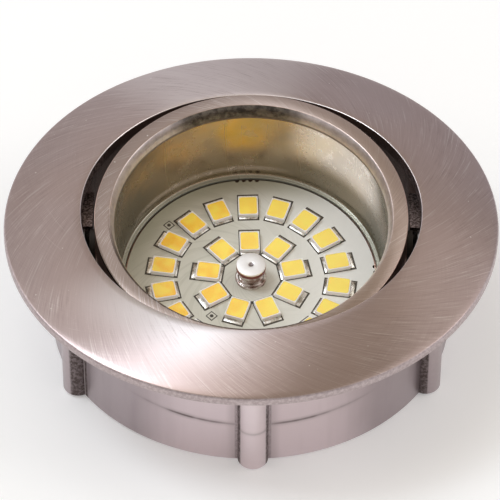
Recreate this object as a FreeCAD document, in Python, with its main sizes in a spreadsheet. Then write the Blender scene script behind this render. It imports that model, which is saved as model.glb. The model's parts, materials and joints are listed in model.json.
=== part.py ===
import FreeCAD
import Part

import math
import os
import re

import Sketcher
from FreeCAD import Placement, Rotation, Vector

# A tilting soffit downlight, lying on its back with its face up. The origin is the centre of the
# ring that its skirt stands on, and +Z points out of the face. The pieces of the tilting cup are
# drawn level about the pivot, and their placement then turns them about the pivot's axis, X.

# ---------------------------------------------------------------------------------------------
# The driving sizes, in millimetres and degrees
# ---------------------------------------------------------------------------------------------

SIZES = {
    # the fixed housing: a conical face plate on a round skirt with six ribs
    "face_radius": 34.0,
    "face_height": 18.3,
    "face_rise": 2.28,
    "face_curve": 70.0,
    "rim_thickness": 1.2,
    "rim_round": 0.3,
    "opening_radius": 23.37,
    "opening_depth": 1.9,
    "opening_round": 0.2,
    "skirt_radius": 27.9,
    "skirt_wall": 1.7,
    "skirt_round": 0.4,
    "rib_count": 6,
    "rib_circle": 27.66,
    "rib_radius": 2.09,
    "rib_round": 0.3,
    "rib_turn": 0.7,
    # the pivot: a pin on each side, pressed into a bearing block on the skirt's inside
    "pivot_drop": 4.9,
    "tilt_now": 8.4,
    "tilt_limit": 15.0,
    "pin_radius": 1.0,
    "pin_fit": 0.03,
    "pin_inset": 0.15,
    "pin_depth": 1.7,
    "pin_chamfer": 0.15,
    "bearing_width": 5.2,
    "bearing_drop": 2.6,
    "bearing_face": 23.35,
    "shoulder_face": 22.0,
    "shoulder_gap": 0.15,
    "shoulder_length": 7.0,
    "shoulder_rise": 1.3,
    "washer_radius": 2.2,
    "washer_thickness": 0.75,
    "washer_bore_gap": 0.06,
    "face_gap": 0.05,
    "spring_metal": 0.3,
    # the end stops: a peg on the cup between two blocks on the skirt
    "peg_radius": 0.7,
    "peg_drop": 5.0,
    "peg_reach": 23.0,
    "stop_gap": 0.05,
    "stop_width": 1.8,
    "stop_height": 3.6,
    # the tilting cup, measured from the pivot
    "lip_radius": 21.55,
    "lip_inner_radius": 19.45,
    "lip_height": 6.8,
    "lip_rise": 0.25,
    "lip_round": 0.15,
    "bead_height": 1.8,
    "bead_curve": 4.0,
    "cup_radius": 21.35,
    "cup_straight": 4.0,
    "cup_curve": 9.0,
    "floor_radius": 15.0,
    "floor_wall": 0.9,
    "cavity_radius": 13.6,
    "ledge_radius": 16.2,
    "pad_radius": 2.6,
    "pad_face": 21.5,
    # the reflector
    "bowl_top_radius": 18.8,
    "bowl_bottom_radius": 18.4,
    "bowl_curve": 60.0,
    "bowl_rim_drop": 7.25,
    "sheet": 0.4,
    "fit_gap": 0.06,
    # the light board and what stands on it
    "board_radius": 17.5,
    "board_gap": 0.3,
    "board_thickness": 1.0,
    "board_drop": 7.45,
    "board_turn": 2.05,
    "bite_count": 4,
    "bite_radius": 0.3,
    "bite_pitch": 0.95,
    "bite_edge": 0.02,
    "tab_count": 4,
    "outer_count": 18,
    "outer_circle": 12.37,
    "inner_count": 9,
    "inner_circle": 6.05,
    "led_length": 3.3,
    "led_width": 2.8,
    "led_height": 0.72,
    "window_length": 2.9,
    "window_width": 2.44,
    "window_depth": 0.45,
    "joint_length": 0.5,
    "joint_width": 2.55,
    "joint_height": 0.24,
    # the post that clamps the board to the cup's floor
    "post_rise": 3.15,
    "head_radius": 2.05,
    "head_height": 0.25,
    "dimple_radius": 0.45,
    "dimple_depth": 0.2,
    "collar_radius": 2.07,
    "collar_height": 0.6,
    "column_radius": 1.72,
    "foot_radius": 2.2,
    "foot_height": 0.45,
    "stud_radius": 0.95,
    "hole_gap": 0.1,
    "spacer_radius": 2.0,
    "nut_flats": 4.0,
    "nut_height": 1.2,
    "lock_washer_height": 0.4,
    "lock_washer_radius": 2.1,
    "stud_end": 0.1,
    # what the space under the board holds
    "cavity_depth": 1.75,
    "film_thickness": 0.2,
    "film_gap": 0.25,
    "rectifier_length": 4.6,
    "rectifier_width": 3.8,
    "rectifier_height": 1.35,
    "rectifier_x": -6.6,
    "rectifier_y": -1.0,
    "lead_length": 0.7,
    "lead_width": 0.6,
    "lead_thickness": 0.2,
    "lead_pitch": 2.5,
    "resistor_count": 9,
    "resistor_circle": 11.3,
    "resistor_length": 1.6,
    "resistor_width": 3.1,
    "resistor_height": 0.55,
    "capacitor_count": 2,
    "capacitor_x": 6.3,
    "capacitor_pitch": 3.6,
    "capacitor_length": 3.2,
    "capacitor_width": 2.5,
    "capacitor_height": 1.3,
    "terminal_length": 2.6,
    "terminal_width": 1.9,
    "terminal_height": 1.3,
    "terminal_pitch": 2.6,
    "terminal_y": 4.6,
    "terminal_bore": 0.45,
    # the cable's way in: a rubber grommet in the cup's floor
    "grommet_offset": 9.3,
    "grommet_bore": 1.5,
    "grommet_barrel": 2.2,
    "grommet_flange": 3.0,
    "grommet_inside": 0.6,
    "grommet_outside": 0.8,
}

# Heights and radii that follow from the sizes. Those of the cup are measured from the pivot.
PIVOT_HEIGHT = "(face_height - pivot_drop)"
SEAT_HEIGHT = "(face_height - rim_thickness)"
SKIRT_INSIDE = "(skirt_radius - skirt_wall)"
BOWL_TOP = "(lip_height - bead_height)"
BOARD_BOTTOM = "(board_drop + board_thickness)"
FLOOR_TOP = "(board_drop + board_thickness + cavity_depth)"
FLOOR_BOTTOM = "(board_drop + board_thickness + cavity_depth + floor_wall)"
STOP_SIDE = "(peg_drop * sin(tilt_limit) + peg_radius + stop_gap)"


def formula(text):
    """Turn each size's name in the text into a reference to its cell."""
    return re.sub(r"[a-z_]+", lambda word: "Sizes." + word.group(0) if word.group(0) in SIZES else word.group(0),
                  text)


doc = FreeCAD.newDocument("soffit_downlight")
sheet = doc.addObject("Spreadsheet::Sheet", "Sizes")
for row, (name, size) in enumerate(SIZES.items(), start=1):
    sheet.set(f"A{row}", name)
    sheet.set(f"B{row}", str(size))
    sheet.setAlias(f"B{row}", name)
doc.recompute()


def value(text):
    """The number that a formula has now."""
    return float(sheet.evalExpression(formula(str(text))))


# ---------------------------------------------------------------------------------------------
# Helpers for sketches and features
# ---------------------------------------------------------------------------------------------

FIXED = []
CUP = []


def new_body(label, group):
    """A body for one piece. A piece of the cup is placed at the pivot and tilted with it."""
    body = doc.addObject("PartDesign::Body", label)
    body.Label = label
    group.append(body)
    return body


def place_on_cup(piece):
    """Put a piece that is drawn about the pivot in its place in the tilted cup."""
    piece.Placement = Placement(Vector(0, 0, value(PIVOT_HEIGHT)), Rotation(Vector(1, 0, 0), value("tilt_now")))
    piece.setExpression("Placement.Base.z", formula(PIVOT_HEIGHT))
    piece.setExpression("Placement.Rotation.Angle", formula("tilt_now"))


def origin_feature(body, role):
    """The body's own origin plane or axis with this role."""
    return next(item for item in body.Origin.OriginFeatures if item.Role == role)


def new_sketch(body, name, plane, lift=None, turn=None, about=Vector(0, 0, 1)):
    """A sketch on one of the body's origin planes. A formula can lift it off the plane, and another
    turn it about an axis that is given in the sketch's own directions."""
    sketch = body.newObject("Sketcher::SketchObject", name)
    sketch.AttachmentSupport = (origin_feature(body, plane), [""])
    sketch.MapMode = "FlatFace"
    if lift:
        sketch.setExpression("AttachmentOffset.Base.z", formula(lift))
    if turn:
        sketch.AttachmentOffset = Placement(Vector(0, 0, 0), Rotation(about, 1))
        sketch.setExpression("AttachmentOffset.Rotation.Angle", formula(turn))
    return sketch


def bind_point(sketch, curve, end, across, along):
    """Hold one end of a curve at a place given by two formulas."""
    for kind, text in (("DistanceX", across), ("DistanceY", along)):
        index = sketch.addConstraint(Sketcher.Constraint(kind, -1, 1, curve, end, value(text)))
        sketch.setExpression(f"Constraints[{index}]", formula(text))


def arc_between(start, end, radius, bulge):
    """A counter-clockwise arc through both points. It bulges to the left of the way from start to
    end for a bulge of 1, and to the right for -1."""
    chord = end - start
    side = Vector(-chord.y, chord.x, 0).normalize() * bulge
    height = radius - math.sqrt(radius ** 2 - (chord.Length / 2) ** 2)
    crown = (start + end) * 0.5 + side * height
    return Part.Arc(start, crown, end) if bulge < 0 else Part.Arc(end, crown, start)


def add_profile(sketch, corners, arcs=None):
    """Draw a closed outline. An arc is given as {corner that it starts from: (radius, bulge)}."""
    arcs = arcs or {}
    points = [Vector(value(across), value(along), 0) for across, along in corners]
    first = len(sketch.Geometry)
    count = len(corners)
    starts = []
    ends = []
    for index, point in enumerate(points):
        following = points[(index + 1) % count]
        if index in arcs:
            radius, bulge = arcs[index]
            sketch.addGeometry(arc_between(point, following, value(radius), bulge))
            starts.append(1 if bulge < 0 else 2)
            ends.append(2 if bulge < 0 else 1)
        else:
            sketch.addGeometry(Part.LineSegment(point, following))
            starts.append(1)
            ends.append(2)
    for index in range(count):
        after = (index + 1) % count
        sketch.addConstraint(
            Sketcher.Constraint("Coincident", first + index, ends[index], first + after, starts[after]))
    for index, (across, along) in enumerate(corners):
        bind_point(sketch, first + index, starts[index], across, along)
    for index, (radius, _) in arcs.items():
        constraint = sketch.addConstraint(Sketcher.Constraint("Radius", first + index, value(radius)))
        sketch.setExpression(f"Constraints[{constraint}]", formula(radius))


def add_circle(sketch, across, along, radius):
    """Draw a circle whose centre and radius are formulas."""
    centre = Vector(value(across), value(along), 0)
    curve = sketch.addGeometry(Part.Circle(centre, Vector(0, 0, 1), value(radius)))
    bind_point(sketch, curve, 3, across, along)
    constraint = sketch.addConstraint(Sketcher.Constraint("Radius", curve, value(radius)))
    sketch.setExpression(f"Constraints[{constraint}]", formula(radius))


def add_rectangle(sketch, low_across, high_across, low_along, high_along):
    """Draw a rectangle between four formulas."""
    add_profile(sketch, [(low_across, low_along), (high_across, low_along),
                         (high_across, high_along), (low_across, high_along)])


def revolve(body, name, sketch):
    """Turn a profile right round the sketch's upright axis."""
    feature = body.newObject("PartDesign::Revolution", name)
    feature.Profile = sketch
    feature.ReferenceAxis = (sketch, ["V_Axis"])
    feature.Angle = 360
    return feature


def revolve_about(body, name, sketch, foot, head):
    """Turn a profile right round a line from foot to head, which are pairs of formulas."""
    across = [Vector(value(end[0]), value(end[1]), 0) for end in (foot, head)]
    axis = sketch.addGeometry(Part.LineSegment(*across), True)
    bind_point(sketch, axis, 1, *foot)
    bind_point(sketch, axis, 2, *head)
    feature = body.newObject("PartDesign::Revolution", name)
    feature.Profile = sketch
    feature.ReferenceAxis = (sketch, ["Axis0"])
    feature.Angle = 360
    return feature


def pad(body, name, sketch, length, reverse=False):
    """Raise a profile by a formula's length."""
    feature = body.newObject("PartDesign::Pad", name)
    feature.Profile = sketch
    feature.Length = value(length)
    feature.setExpression("Length", formula(length))
    feature.Reversed = reverse
    return feature


def pocket(body, name, sketch, length, reverse=False):
    """Sink a profile by a formula's length."""
    feature = body.newObject("PartDesign::Pocket", name)
    feature.Profile = sketch
    feature.Length = value(length)
    feature.setExpression("Length", formula(length))
    feature.Reversed = reverse
    return feature


def polar_pattern(body, name, originals, count):
    """Repeat features evenly round the body's Z axis."""
    feature = body.newObject("PartDesign::PolarPattern", name)
    feature.Originals = originals
    feature.Axis = (origin_feature(body, "Z_Axis"), [""])
    feature.Angle = 360
    feature.Occurrences = int(value(count))
    feature.setExpression("Occurrences", formula(count))
    body.Tip = feature
    return feature


def circle_edges(shape, radius, height):
    """Names of the edges that are whole or part circles about Z with this radius and height."""
    names = []
    for index, edge in enumerate(shape.Edges, start=1):
        curve = edge.Curve
        if not isinstance(curve, Part.Circle):
            continue
        on_axis = math.hypot(curve.Center.x, curve.Center.y) < 1e-6
        if on_axis and abs(curve.Radius - radius) < 1e-6 and abs(curve.Center.z - height) < 1e-6:
            names.append(f"Edge{index}")
    return names


def edges_at_height(shape, height):
    """Names of the edges that lie wholly at this height."""
    return [f"Edge{index}" for index, edge in enumerate(shape.Edges, start=1)
            if abs(edge.BoundBox.ZMin - height) < 1e-6 and abs(edge.BoundBox.ZMax - height) < 1e-6]


def fillet(body, name, base, edges, radius):
    """Round the named edges by a formula's radius."""
    feature = body.newObject("PartDesign::Fillet", name)
    feature.Base = (base, edges)
    feature.Radius = value(radius)
    feature.setExpression("Radius", formula(radius))
    return feature


# ---------------------------------------------------------------------------------------------
# The fixed housing
# ---------------------------------------------------------------------------------------------

def make_housing():
    """Face plate, skirt, ribs, bearing blocks, shoulders and stops, cast in one piece."""
    body = new_body("housing", FIXED)
    section = new_sketch(body, "housing_section", "XZ_Plane")
    add_profile(section, [
        ("opening_radius", "face_height + face_rise"),
        ("face_radius", "face_height"),
        ("face_radius", SEAT_HEIGHT),
        ("skirt_radius", SEAT_HEIGHT),
        ("skirt_radius", "0"),
        (SKIRT_INSIDE, "0"),
        (SKIRT_INSIDE, SEAT_HEIGHT),
        ("opening_radius", "face_height + face_rise - opening_depth"),
    ], arcs={0: ("face_curve", 1)})
    ring = revolve(body, "housing_ring", section)
    doc.recompute()

    top = fillet(body, "opening_edge", ring,
                 circle_edges(ring.Shape, value("opening_radius"), value("face_height + face_rise")),
                 "opening_round")
    doc.recompute()
    rim = fillet(body, "rim_edge", top, circle_edges(top.Shape, value("face_radius"), value("face_height")),
                 "rim_round")
    doc.recompute()

    standing = fillet(body, "standing_edges", rim, edges_at_height(rim.Shape, 0.0), "skirt_round")
    doc.recompute()

    rib_sketch = new_sketch(body, "rib_sketch", "YZ_Plane", turn="rib_turn", about=Vector(0, 1, 0))
    add_profile(rib_sketch, [
        ("-rib_circle", "0"),
        ("-rib_circle - rib_radius + rib_round", "0"),
        ("-rib_circle - rib_radius", "rib_round"),
        ("-rib_circle - rib_radius", SEAT_HEIGHT),
        ("-rib_circle", SEAT_HEIGHT),
    ], arcs={1: ("rib_round", 1)})
    rib = revolve_about(body, "rib", rib_sketch, ("-rib_circle", "0"), ("-rib_circle", SEAT_HEIGHT))
    polar_pattern(body, "ribs", [rib], "rib_count")
    inside_sketch = new_sketch(body, "skirt_inside_sketch", "XY_Plane")
    add_circle(inside_sketch, "0", "0", SKIRT_INSIDE)
    pocket(body, "skirt_inside", inside_sketch, SEAT_HEIGHT, reverse=True)

    for side, sign in (("left", "-"), ("right", "")):
        block_sketch = new_sketch(body, f"{side}_bearing_sketch", "XY_Plane",
                                  lift=f"{PIVOT_HEIGHT} - bearing_drop")
        add_rectangle(block_sketch, f"{sign}bearing_face", f"{sign}(skirt_radius - skirt_wall / 2)",
                      "-bearing_width / 2", "bearing_width / 2")
        pad(body, f"{side}_bearing", block_sketch, "pivot_drop - rim_thickness + bearing_drop")

        shoulder_sketch = new_sketch(body, f"{side}_shoulder_sketch", "XY_Plane",
                                     lift=f"{PIVOT_HEIGHT} - bearing_drop")
        add_rectangle(shoulder_sketch, f"{sign}shoulder_face", f"{sign}(skirt_radius - skirt_wall / 2)",
                      "washer_radius + shoulder_gap", "washer_radius + shoulder_gap + shoulder_length")
        pad(body, f"{side}_shoulder", shoulder_sketch, "bearing_drop + shoulder_rise")

        for end, toward in (("front", "-"), ("rear", "")):
            stop_sketch = new_sketch(body, f"{side}_{end}_stop_sketch", "XY_Plane",
                                     lift=f"{PIVOT_HEIGHT} - peg_drop - stop_height / 2")
            add_rectangle(stop_sketch, f"{sign}shoulder_face", f"{sign}(skirt_radius - skirt_wall / 2)",
                          f"{toward}{STOP_SIDE}", f"{toward}({STOP_SIDE} + stop_width)")
            pad(body, f"{side}_{end}_stop", stop_sketch, "stop_height")

    bore_sketch = new_sketch(body, "pin_bore_sketch", "YZ_Plane", lift="-face_radius")
    add_circle(bore_sketch, "0", PIVOT_HEIGHT, "pin_radius")
    pocket(body, "pin_bore", bore_sketch, "2 * face_radius", reverse=True)


def make_pivot_pins():
    """A plain steel pin on each side, pressed into the housing and free in the cup's wall."""
    for side, sign in (("left", -1), ("right", 1)):
        pin = new_body(f"{side}_pivot_pin", FIXED)
        start = "skirt_radius - pin_inset"
        end = "pad_face - pin_depth"
        sketch = new_sketch(pin, f"{side}_pin_sketch", "YZ_Plane", lift=f"{sign} * ({end})")
        add_circle(sketch, "0", PIVOT_HEIGHT, "pin_radius")
        stem = pad(pin, f"{side}_pin_stem", sketch, f"{start} - ({end})", reverse=sign < 0)
        doc.recompute()
        rims = [f"Edge{index}" for index, edge in enumerate(stem.Shape.Edges, start=1)
                if isinstance(edge.Curve, Part.Circle)]
        ease = pin.newObject("PartDesign::Chamfer", f"{side}_pin_chamfer")
        ease.Base = (stem, rims)
        ease.Size = value("pin_chamfer")
        ease.setExpression("Size", formula("pin_chamfer"))


def make_friction_washers():
    """Beside the cup's wall, a flat friction washer on each pin holds the cup at its tilt."""
    for side, sign in (("left", -1), ("right", 1)):
        washer = new_body(f"{side}_friction_washer", FIXED)
        sketch = new_sketch(washer, f"{side}_washer_sketch", "YZ_Plane", lift=f"{sign} * (pad_face + face_gap)")
        add_circle(sketch, "0", PIVOT_HEIGHT, "washer_radius")
        add_circle(sketch, "0", PIVOT_HEIGHT, "pin_radius + washer_bore_gap")
        pad(washer, f"{side}_washer_disc", sketch, "washer_thickness", reverse=sign < 0)


def make_spring_washers():
    """A dished spring washer presses each friction washer against the cup."""
    near = "(pad_face + 2 * face_gap + washer_thickness)"
    far = "(bearing_face - face_gap)"
    for side, sign in (("left", "-"), ("right", "")):
        washer = new_body(f"{side}_spring_washer", FIXED)
        sketch = new_sketch(washer, f"{side}_spring_sketch", "XZ_Plane")
        bore = f"({PIVOT_HEIGHT} + pin_radius + washer_bore_gap)"
        rim = f"({PIVOT_HEIGHT} + washer_radius)"
        add_profile(sketch, [
            (f"{sign}{near}", bore),
            (f"{sign}({near} + spring_metal)", bore),
            (f"{sign}{far}", rim),
            (f"{sign}({far} - spring_metal)", rim),
        ])
        revolve_about(washer, f"{side}_spring_dish", sketch, ("0", PIVOT_HEIGHT), ("face_radius", PIVOT_HEIGHT))


# ---------------------------------------------------------------------------------------------
# The tilting cup and its reflector
# ---------------------------------------------------------------------------------------------

def make_cup():
    """Lip ring, wall and floor in one casting, with pads and pegs at the pivot."""
    body = new_body("tilt_cup", CUP)
    backing = "(sheet + fit_gap)"
    section = new_sketch(body, "cup_section", "XZ_Plane")
    add_profile(section, [
        ("lip_inner_radius", "lip_height + lip_rise"),
        ("lip_radius", "lip_height"),
        ("cup_radius", "-cup_straight"),
        ("floor_radius", f"-{FLOOR_BOTTOM}"),
        ("0", f"-{FLOOR_BOTTOM}"),
        ("0", f"-{FLOOR_TOP}"),
        ("cavity_radius", f"-{FLOOR_TOP}"),
        ("ledge_radius", f"-{BOARD_BOTTOM}"),
        ("board_radius + board_gap", f"-{BOARD_BOTTOM}"),
        ("board_radius + board_gap", "-(bowl_rim_drop + sheet)"),
        (f"bowl_bottom_radius + {backing}", "-(bowl_rim_drop + sheet)"),
        (f"bowl_top_radius + {backing}", BOWL_TOP),
        ("bowl_top_radius", BOWL_TOP),
    ], arcs={2: ("cup_curve", 1), 10: (f"bowl_curve + {backing}", -1), 12: ("bead_curve", 1)})
    wall = revolve(body, "cup_wall", section)
    doc.recompute()
    lip = fillet(body, "lip_edge", wall,
                 circle_edges(wall.Shape, value("lip_radius"), value("lip_height")), "lip_round")

    for side, sign in (("left", -1), ("right", 1)):
        pad_sketch = new_sketch(body, f"{side}_pad_sketch", "YZ_Plane",
                                lift=f"{sign} * (cup_radius - pad_radius / 2)")
        add_circle(pad_sketch, "0", "0", "pad_radius")
        pad(body, f"{side}_pad", pad_sketch, "pad_face - cup_radius + pad_radius / 2", reverse=sign < 0)
        peg_sketch = new_sketch(body, f"{side}_peg_sketch", "YZ_Plane",
                                lift=f"{sign} * (cup_radius - pad_radius / 2)")
        add_circle(peg_sketch, "0", "-peg_drop", "peg_radius")
        pad(body, f"{side}_peg", peg_sketch, "peg_reach - cup_radius + pad_radius / 2", reverse=sign < 0)

    bore_sketch = new_sketch(body, "cup_bore_sketch", "YZ_Plane", lift="-face_radius")
    add_circle(bore_sketch, "0", "0", "pin_radius + pin_fit")
    pocket(body, "cup_bore", bore_sketch, "2 * face_radius", reverse=True)

    floor_sketch = new_sketch(body, "floor_hole_sketch", "XY_Plane", lift=f"-{FLOOR_BOTTOM}")
    add_circle(floor_sketch, "0", "0", "stud_radius + hole_gap")
    add_circle(floor_sketch, "0", "grommet_offset", "grommet_barrel")
    pocket(body, "floor_holes", floor_sketch, "floor_wall", reverse=True)
    return body


def make_reflector():
    """A pressed bowl of polished sheet with a narrow flange round the board."""
    body = new_body("reflector_bowl", CUP)
    sketch = new_sketch(body, "bowl_section", "XZ_Plane")
    add_profile(sketch, [
        ("board_radius + board_gap", "-bowl_rim_drop"),
        ("bowl_bottom_radius", "-bowl_rim_drop"),
        ("bowl_top_radius", f"{BOWL_TOP} - fit_gap"),
        ("bowl_top_radius + sheet", f"{BOWL_TOP} - fit_gap"),
        ("bowl_bottom_radius + sheet", "-(bowl_rim_drop + sheet)"),
        ("board_radius + board_gap", "-(bowl_rim_drop + sheet)"),
    ], arcs={1: ("bowl_curve", -1), 3: ("bowl_curve + sheet", 1)})
    revolve(body, "bowl", sketch)


# ---------------------------------------------------------------------------------------------
# The light board and its lamps
# ---------------------------------------------------------------------------------------------

def make_board():
    """A round board with the notches that its break-off tabs leave at the edge."""
    body = new_body("led_board", CUP)
    sketch = new_sketch(body, "board_outline", "XY_Plane", lift=f"-{BOARD_BOTTOM}")
    add_circle(sketch, "0", "0", "board_radius")
    add_circle(sketch, "0", "0", "stud_radius + hole_gap")
    pad(body, "board_disc", sketch, "board_thickness")
    notch_sketch = new_sketch(body, "notch_sketch", "XY_Plane", lift=f"-{BOARD_BOTTOM}", turn="board_turn")
    for index in range(int(value("bite_count"))):
        across = f"({index} - (bite_count - 1) / 2) * bite_pitch"
        add_circle(notch_sketch, across, f"sqrt(board_radius ^ 2 - ({across}) ^ 2) - bite_edge", "bite_radius")
    notches = pocket(body, "notches", notch_sketch, "board_thickness", reverse=True)
    polar_pattern(body, "tab_notches", [notches], "tab_count")


def make_led_ring(ring):
    """The white bodies, the lit windows and the soldered ends of one ring of lamps."""
    circle = f"{ring}_circle"
    count = f"{ring}_count"
    turn = "90 + board_turn"

    bodies = new_body(f"{ring}_led_bodies", CUP)
    case_sketch = new_sketch(bodies, f"{ring}_case_sketch", "XY_Plane", lift="-board_drop", turn=turn)
    add_rectangle(case_sketch, f"{circle} - led_length / 2", f"{circle} + led_length / 2",
                  "-led_width / 2", "led_width / 2")
    case = pad(bodies, f"{ring}_case", case_sketch, "led_height")
    well_sketch = new_sketch(bodies, f"{ring}_well_sketch", "XY_Plane",
                             lift="-board_drop + led_height - window_depth", turn=turn)
    add_rectangle(well_sketch, f"{circle} - window_length / 2", f"{circle} + window_length / 2",
                  "-window_width / 2", "window_width / 2")
    well = pocket(bodies, f"{ring}_well", well_sketch, "window_depth", reverse=True)
    polar_pattern(bodies, f"{ring}_cases", [case, well], count)

    windows = new_body(f"{ring}_led_windows", CUP)
    window_sketch = new_sketch(windows, f"{ring}_window_sketch", "XY_Plane",
                               lift="-board_drop + led_height - window_depth", turn=turn)
    add_rectangle(window_sketch, f"{circle} - window_length / 2", f"{circle} + window_length / 2",
                  "-window_width / 2", "window_width / 2")
    window = pad(windows, f"{ring}_window", window_sketch, "window_depth")
    polar_pattern(windows, f"{ring}_windows", [window], count)

    joints = new_body(f"{ring}_solder_joints", CUP)
    ends = []
    for end, sign in (("near", "-"), ("far", "+")):
        inner = f"{circle} {sign} led_length / 2"
        joint_sketch = new_sketch(joints, f"{ring}_{end}_joint_sketch", "XY_Plane", lift="-board_drop", turn=turn)
        add_rectangle(joint_sketch, inner, f"{inner} {sign} joint_length", "-joint_width / 2", "joint_width / 2")
        ends.append(pad(joints, f"{ring}_{end}_joint", joint_sketch, "joint_height"))
    polar_pattern(joints, f"{ring}_joints", ends, count)


# ---------------------------------------------------------------------------------------------
# The centre post
# ---------------------------------------------------------------------------------------------

def make_post():
    """A turned stud: dimpled head, column, foot on the board, and a threaded end below the floor."""
    body = new_body("centre_post", CUP)
    top = "(post_rise - board_drop)"
    sketch = new_sketch(body, "post_section", "XZ_Plane")
    add_profile(sketch, [
        ("0", f"{top} - dimple_depth"),
        ("dimple_radius", top),
        ("head_radius", top),
        ("head_radius", f"{top} - head_height"),
        ("column_radius", f"{top} - head_height"),
        ("column_radius", "foot_height - board_drop"),
        ("foot_radius", "foot_height - board_drop"),
        ("foot_radius", "-board_drop"),
        ("stud_radius", "-board_drop"),
        ("stud_radius", f"-({FLOOR_BOTTOM} + lock_washer_height + nut_height + stud_end)"),
        ("0", f"-({FLOOR_BOTTOM} + lock_washer_height + nut_height + stud_end)"),
    ])
    revolve(body, "post", sketch)

    collar = new_body("post_collar", CUP)
    collar_sketch = new_sketch(collar, "collar_sketch", "XY_Plane", lift=f"{top} - head_height - collar_height")
    add_circle(collar_sketch, "0", "0", "collar_radius")
    add_circle(collar_sketch, "0", "0", "column_radius")
    pad(collar, "collar", collar_sketch, "collar_height")

    spacer = new_body("board_spacer", CUP)
    spacer_sketch = new_sketch(spacer, "spacer_sketch", "XY_Plane", lift=f"-{FLOOR_TOP}")
    add_circle(spacer_sketch, "0", "0", "spacer_radius")
    add_circle(spacer_sketch, "0", "0", "stud_radius + hole_gap")
    pad(spacer, "spacer", spacer_sketch, "cavity_depth")

    washer = new_body("lock_washer", CUP)
    washer_sketch = new_sketch(washer, "lock_washer_sketch", "XY_Plane",
                               lift=f"-({FLOOR_BOTTOM} + lock_washer_height)")
    add_circle(washer_sketch, "0", "0", "lock_washer_radius")
    add_circle(washer_sketch, "0", "0", "stud_radius + hole_gap")
    pad(washer, "lock_washer_ring", washer_sketch, "lock_washer_height")

    nut = new_body("post_nut", CUP)
    nut_sketch = new_sketch(nut, "nut_sketch", "XY_Plane",
                            lift=f"-({FLOOR_BOTTOM} + lock_washer_height + nut_height)")
    add_profile(nut_sketch, [(f"nut_flats / sqrt(3) * cos({60 * corner})", f"nut_flats / sqrt(3) * sin({60 * corner})")
                             for corner in range(6)])
    add_circle(nut_sketch, "0", "0", "stud_radius")
    pad(nut, "nut", nut_sketch, "nut_height")


# ---------------------------------------------------------------------------------------------
# The space under the board
# ---------------------------------------------------------------------------------------------

def make_film():
    """A disc of insulating film on the cup's floor."""
    film = new_body("insulating_film", CUP)
    sketch = new_sketch(film, "film_sketch", "XY_Plane", lift=f"-{FLOOR_TOP}")
    add_circle(sketch, "0", "0", "cavity_radius - film_gap")
    add_circle(sketch, "0", "0", "spacer_radius + film_gap")
    add_circle(sketch, "0", "grommet_offset", "grommet_flange + film_gap")
    pad(film, "film", sketch, "film_thickness")


def make_rectifier():
    """The bridge rectifier on the board's underside, and its four leads."""
    body = new_body("bridge_rectifier", CUP)
    sketch = new_sketch(body, "rectifier_sketch", "XY_Plane", lift=f"-{BOARD_BOTTOM} - rectifier_height")
    add_rectangle(sketch, "rectifier_x - rectifier_length / 2", "rectifier_x + rectifier_length / 2",
                  "rectifier_y - rectifier_width / 2", "rectifier_y + rectifier_width / 2")
    pad(body, "rectifier_case", sketch, "rectifier_height")

    leads = new_body("rectifier_leads", CUP)
    for row, side in enumerate(("-", "+")):
        for column, shift in enumerate(("-", "+")):
            root = f"rectifier_y {side} rectifier_width / 2"
            centre = f"rectifier_x {shift} lead_pitch / 2"
            lead_sketch = new_sketch(leads, f"lead_sketch_{row}{column}", "XY_Plane",
                                     lift=f"-{BOARD_BOTTOM} - lead_thickness")
            add_rectangle(lead_sketch, f"{centre} - lead_width / 2", f"{centre} + lead_width / 2",
                          root, f"{root} {side} lead_length")
            pad(leads, f"lead_{row}{column}", lead_sketch, "lead_thickness")


def make_resistors():
    """One current-setting resistor for each string of lamps, in a ring under the board."""
    body = new_body("string_resistors", CUP)
    sketch = new_sketch(body, "resistor_sketch", "XY_Plane", lift=f"-{BOARD_BOTTOM} - resistor_height",
                        turn="180 / resistor_count - 90")
    add_rectangle(sketch, "resistor_circle - resistor_length / 2", "resistor_circle + resistor_length / 2",
                  "-resistor_width / 2", "resistor_width / 2")
    chip = pad(body, "resistor", sketch, "resistor_height")
    polar_pattern(body, "resistors", [chip], "resistor_count")


def make_capacitors():
    """Chip capacitors that smooth the rectified supply."""
    body = new_body("smoothing_capacitors", CUP)
    for index in range(int(value("capacitor_count"))):
        middle = f"({index} - (capacitor_count - 1) / 2) * capacitor_pitch - terminal_pitch / 2"
        sketch = new_sketch(body, f"capacitor_sketch_{index}", "XY_Plane",
                            lift=f"-{BOARD_BOTTOM} - capacitor_height")
        add_rectangle(sketch, "capacitor_x - capacitor_length / 2", "capacitor_x + capacitor_length / 2",
                      f"{middle} - capacitor_width / 2", f"{middle} + capacitor_width / 2")
        pad(body, f"capacitor_{index}", sketch, "capacitor_height")


def make_terminals():
    """Two clamps under the board, beside the grommet, where the cable's cores land."""
    body = new_body("wire_terminals", CUP)
    for name, side in (("left", "-"), ("right", "+")):
        centre = f"0 {side} terminal_pitch / 2"
        sketch = new_sketch(body, f"{name}_terminal_sketch", "XZ_Plane",
                            lift="-(terminal_y + terminal_length / 2)")
        add_rectangle(sketch, f"{centre} - terminal_width / 2", f"{centre} + terminal_width / 2",
                      f"-({BOARD_BOTTOM} + terminal_height)", f"-{BOARD_BOTTOM}")
        add_circle(sketch, centre, f"-({BOARD_BOTTOM} + terminal_height / 2)", "terminal_bore")
        pad(body, f"{name}_terminal", sketch, "terminal_length")


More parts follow.
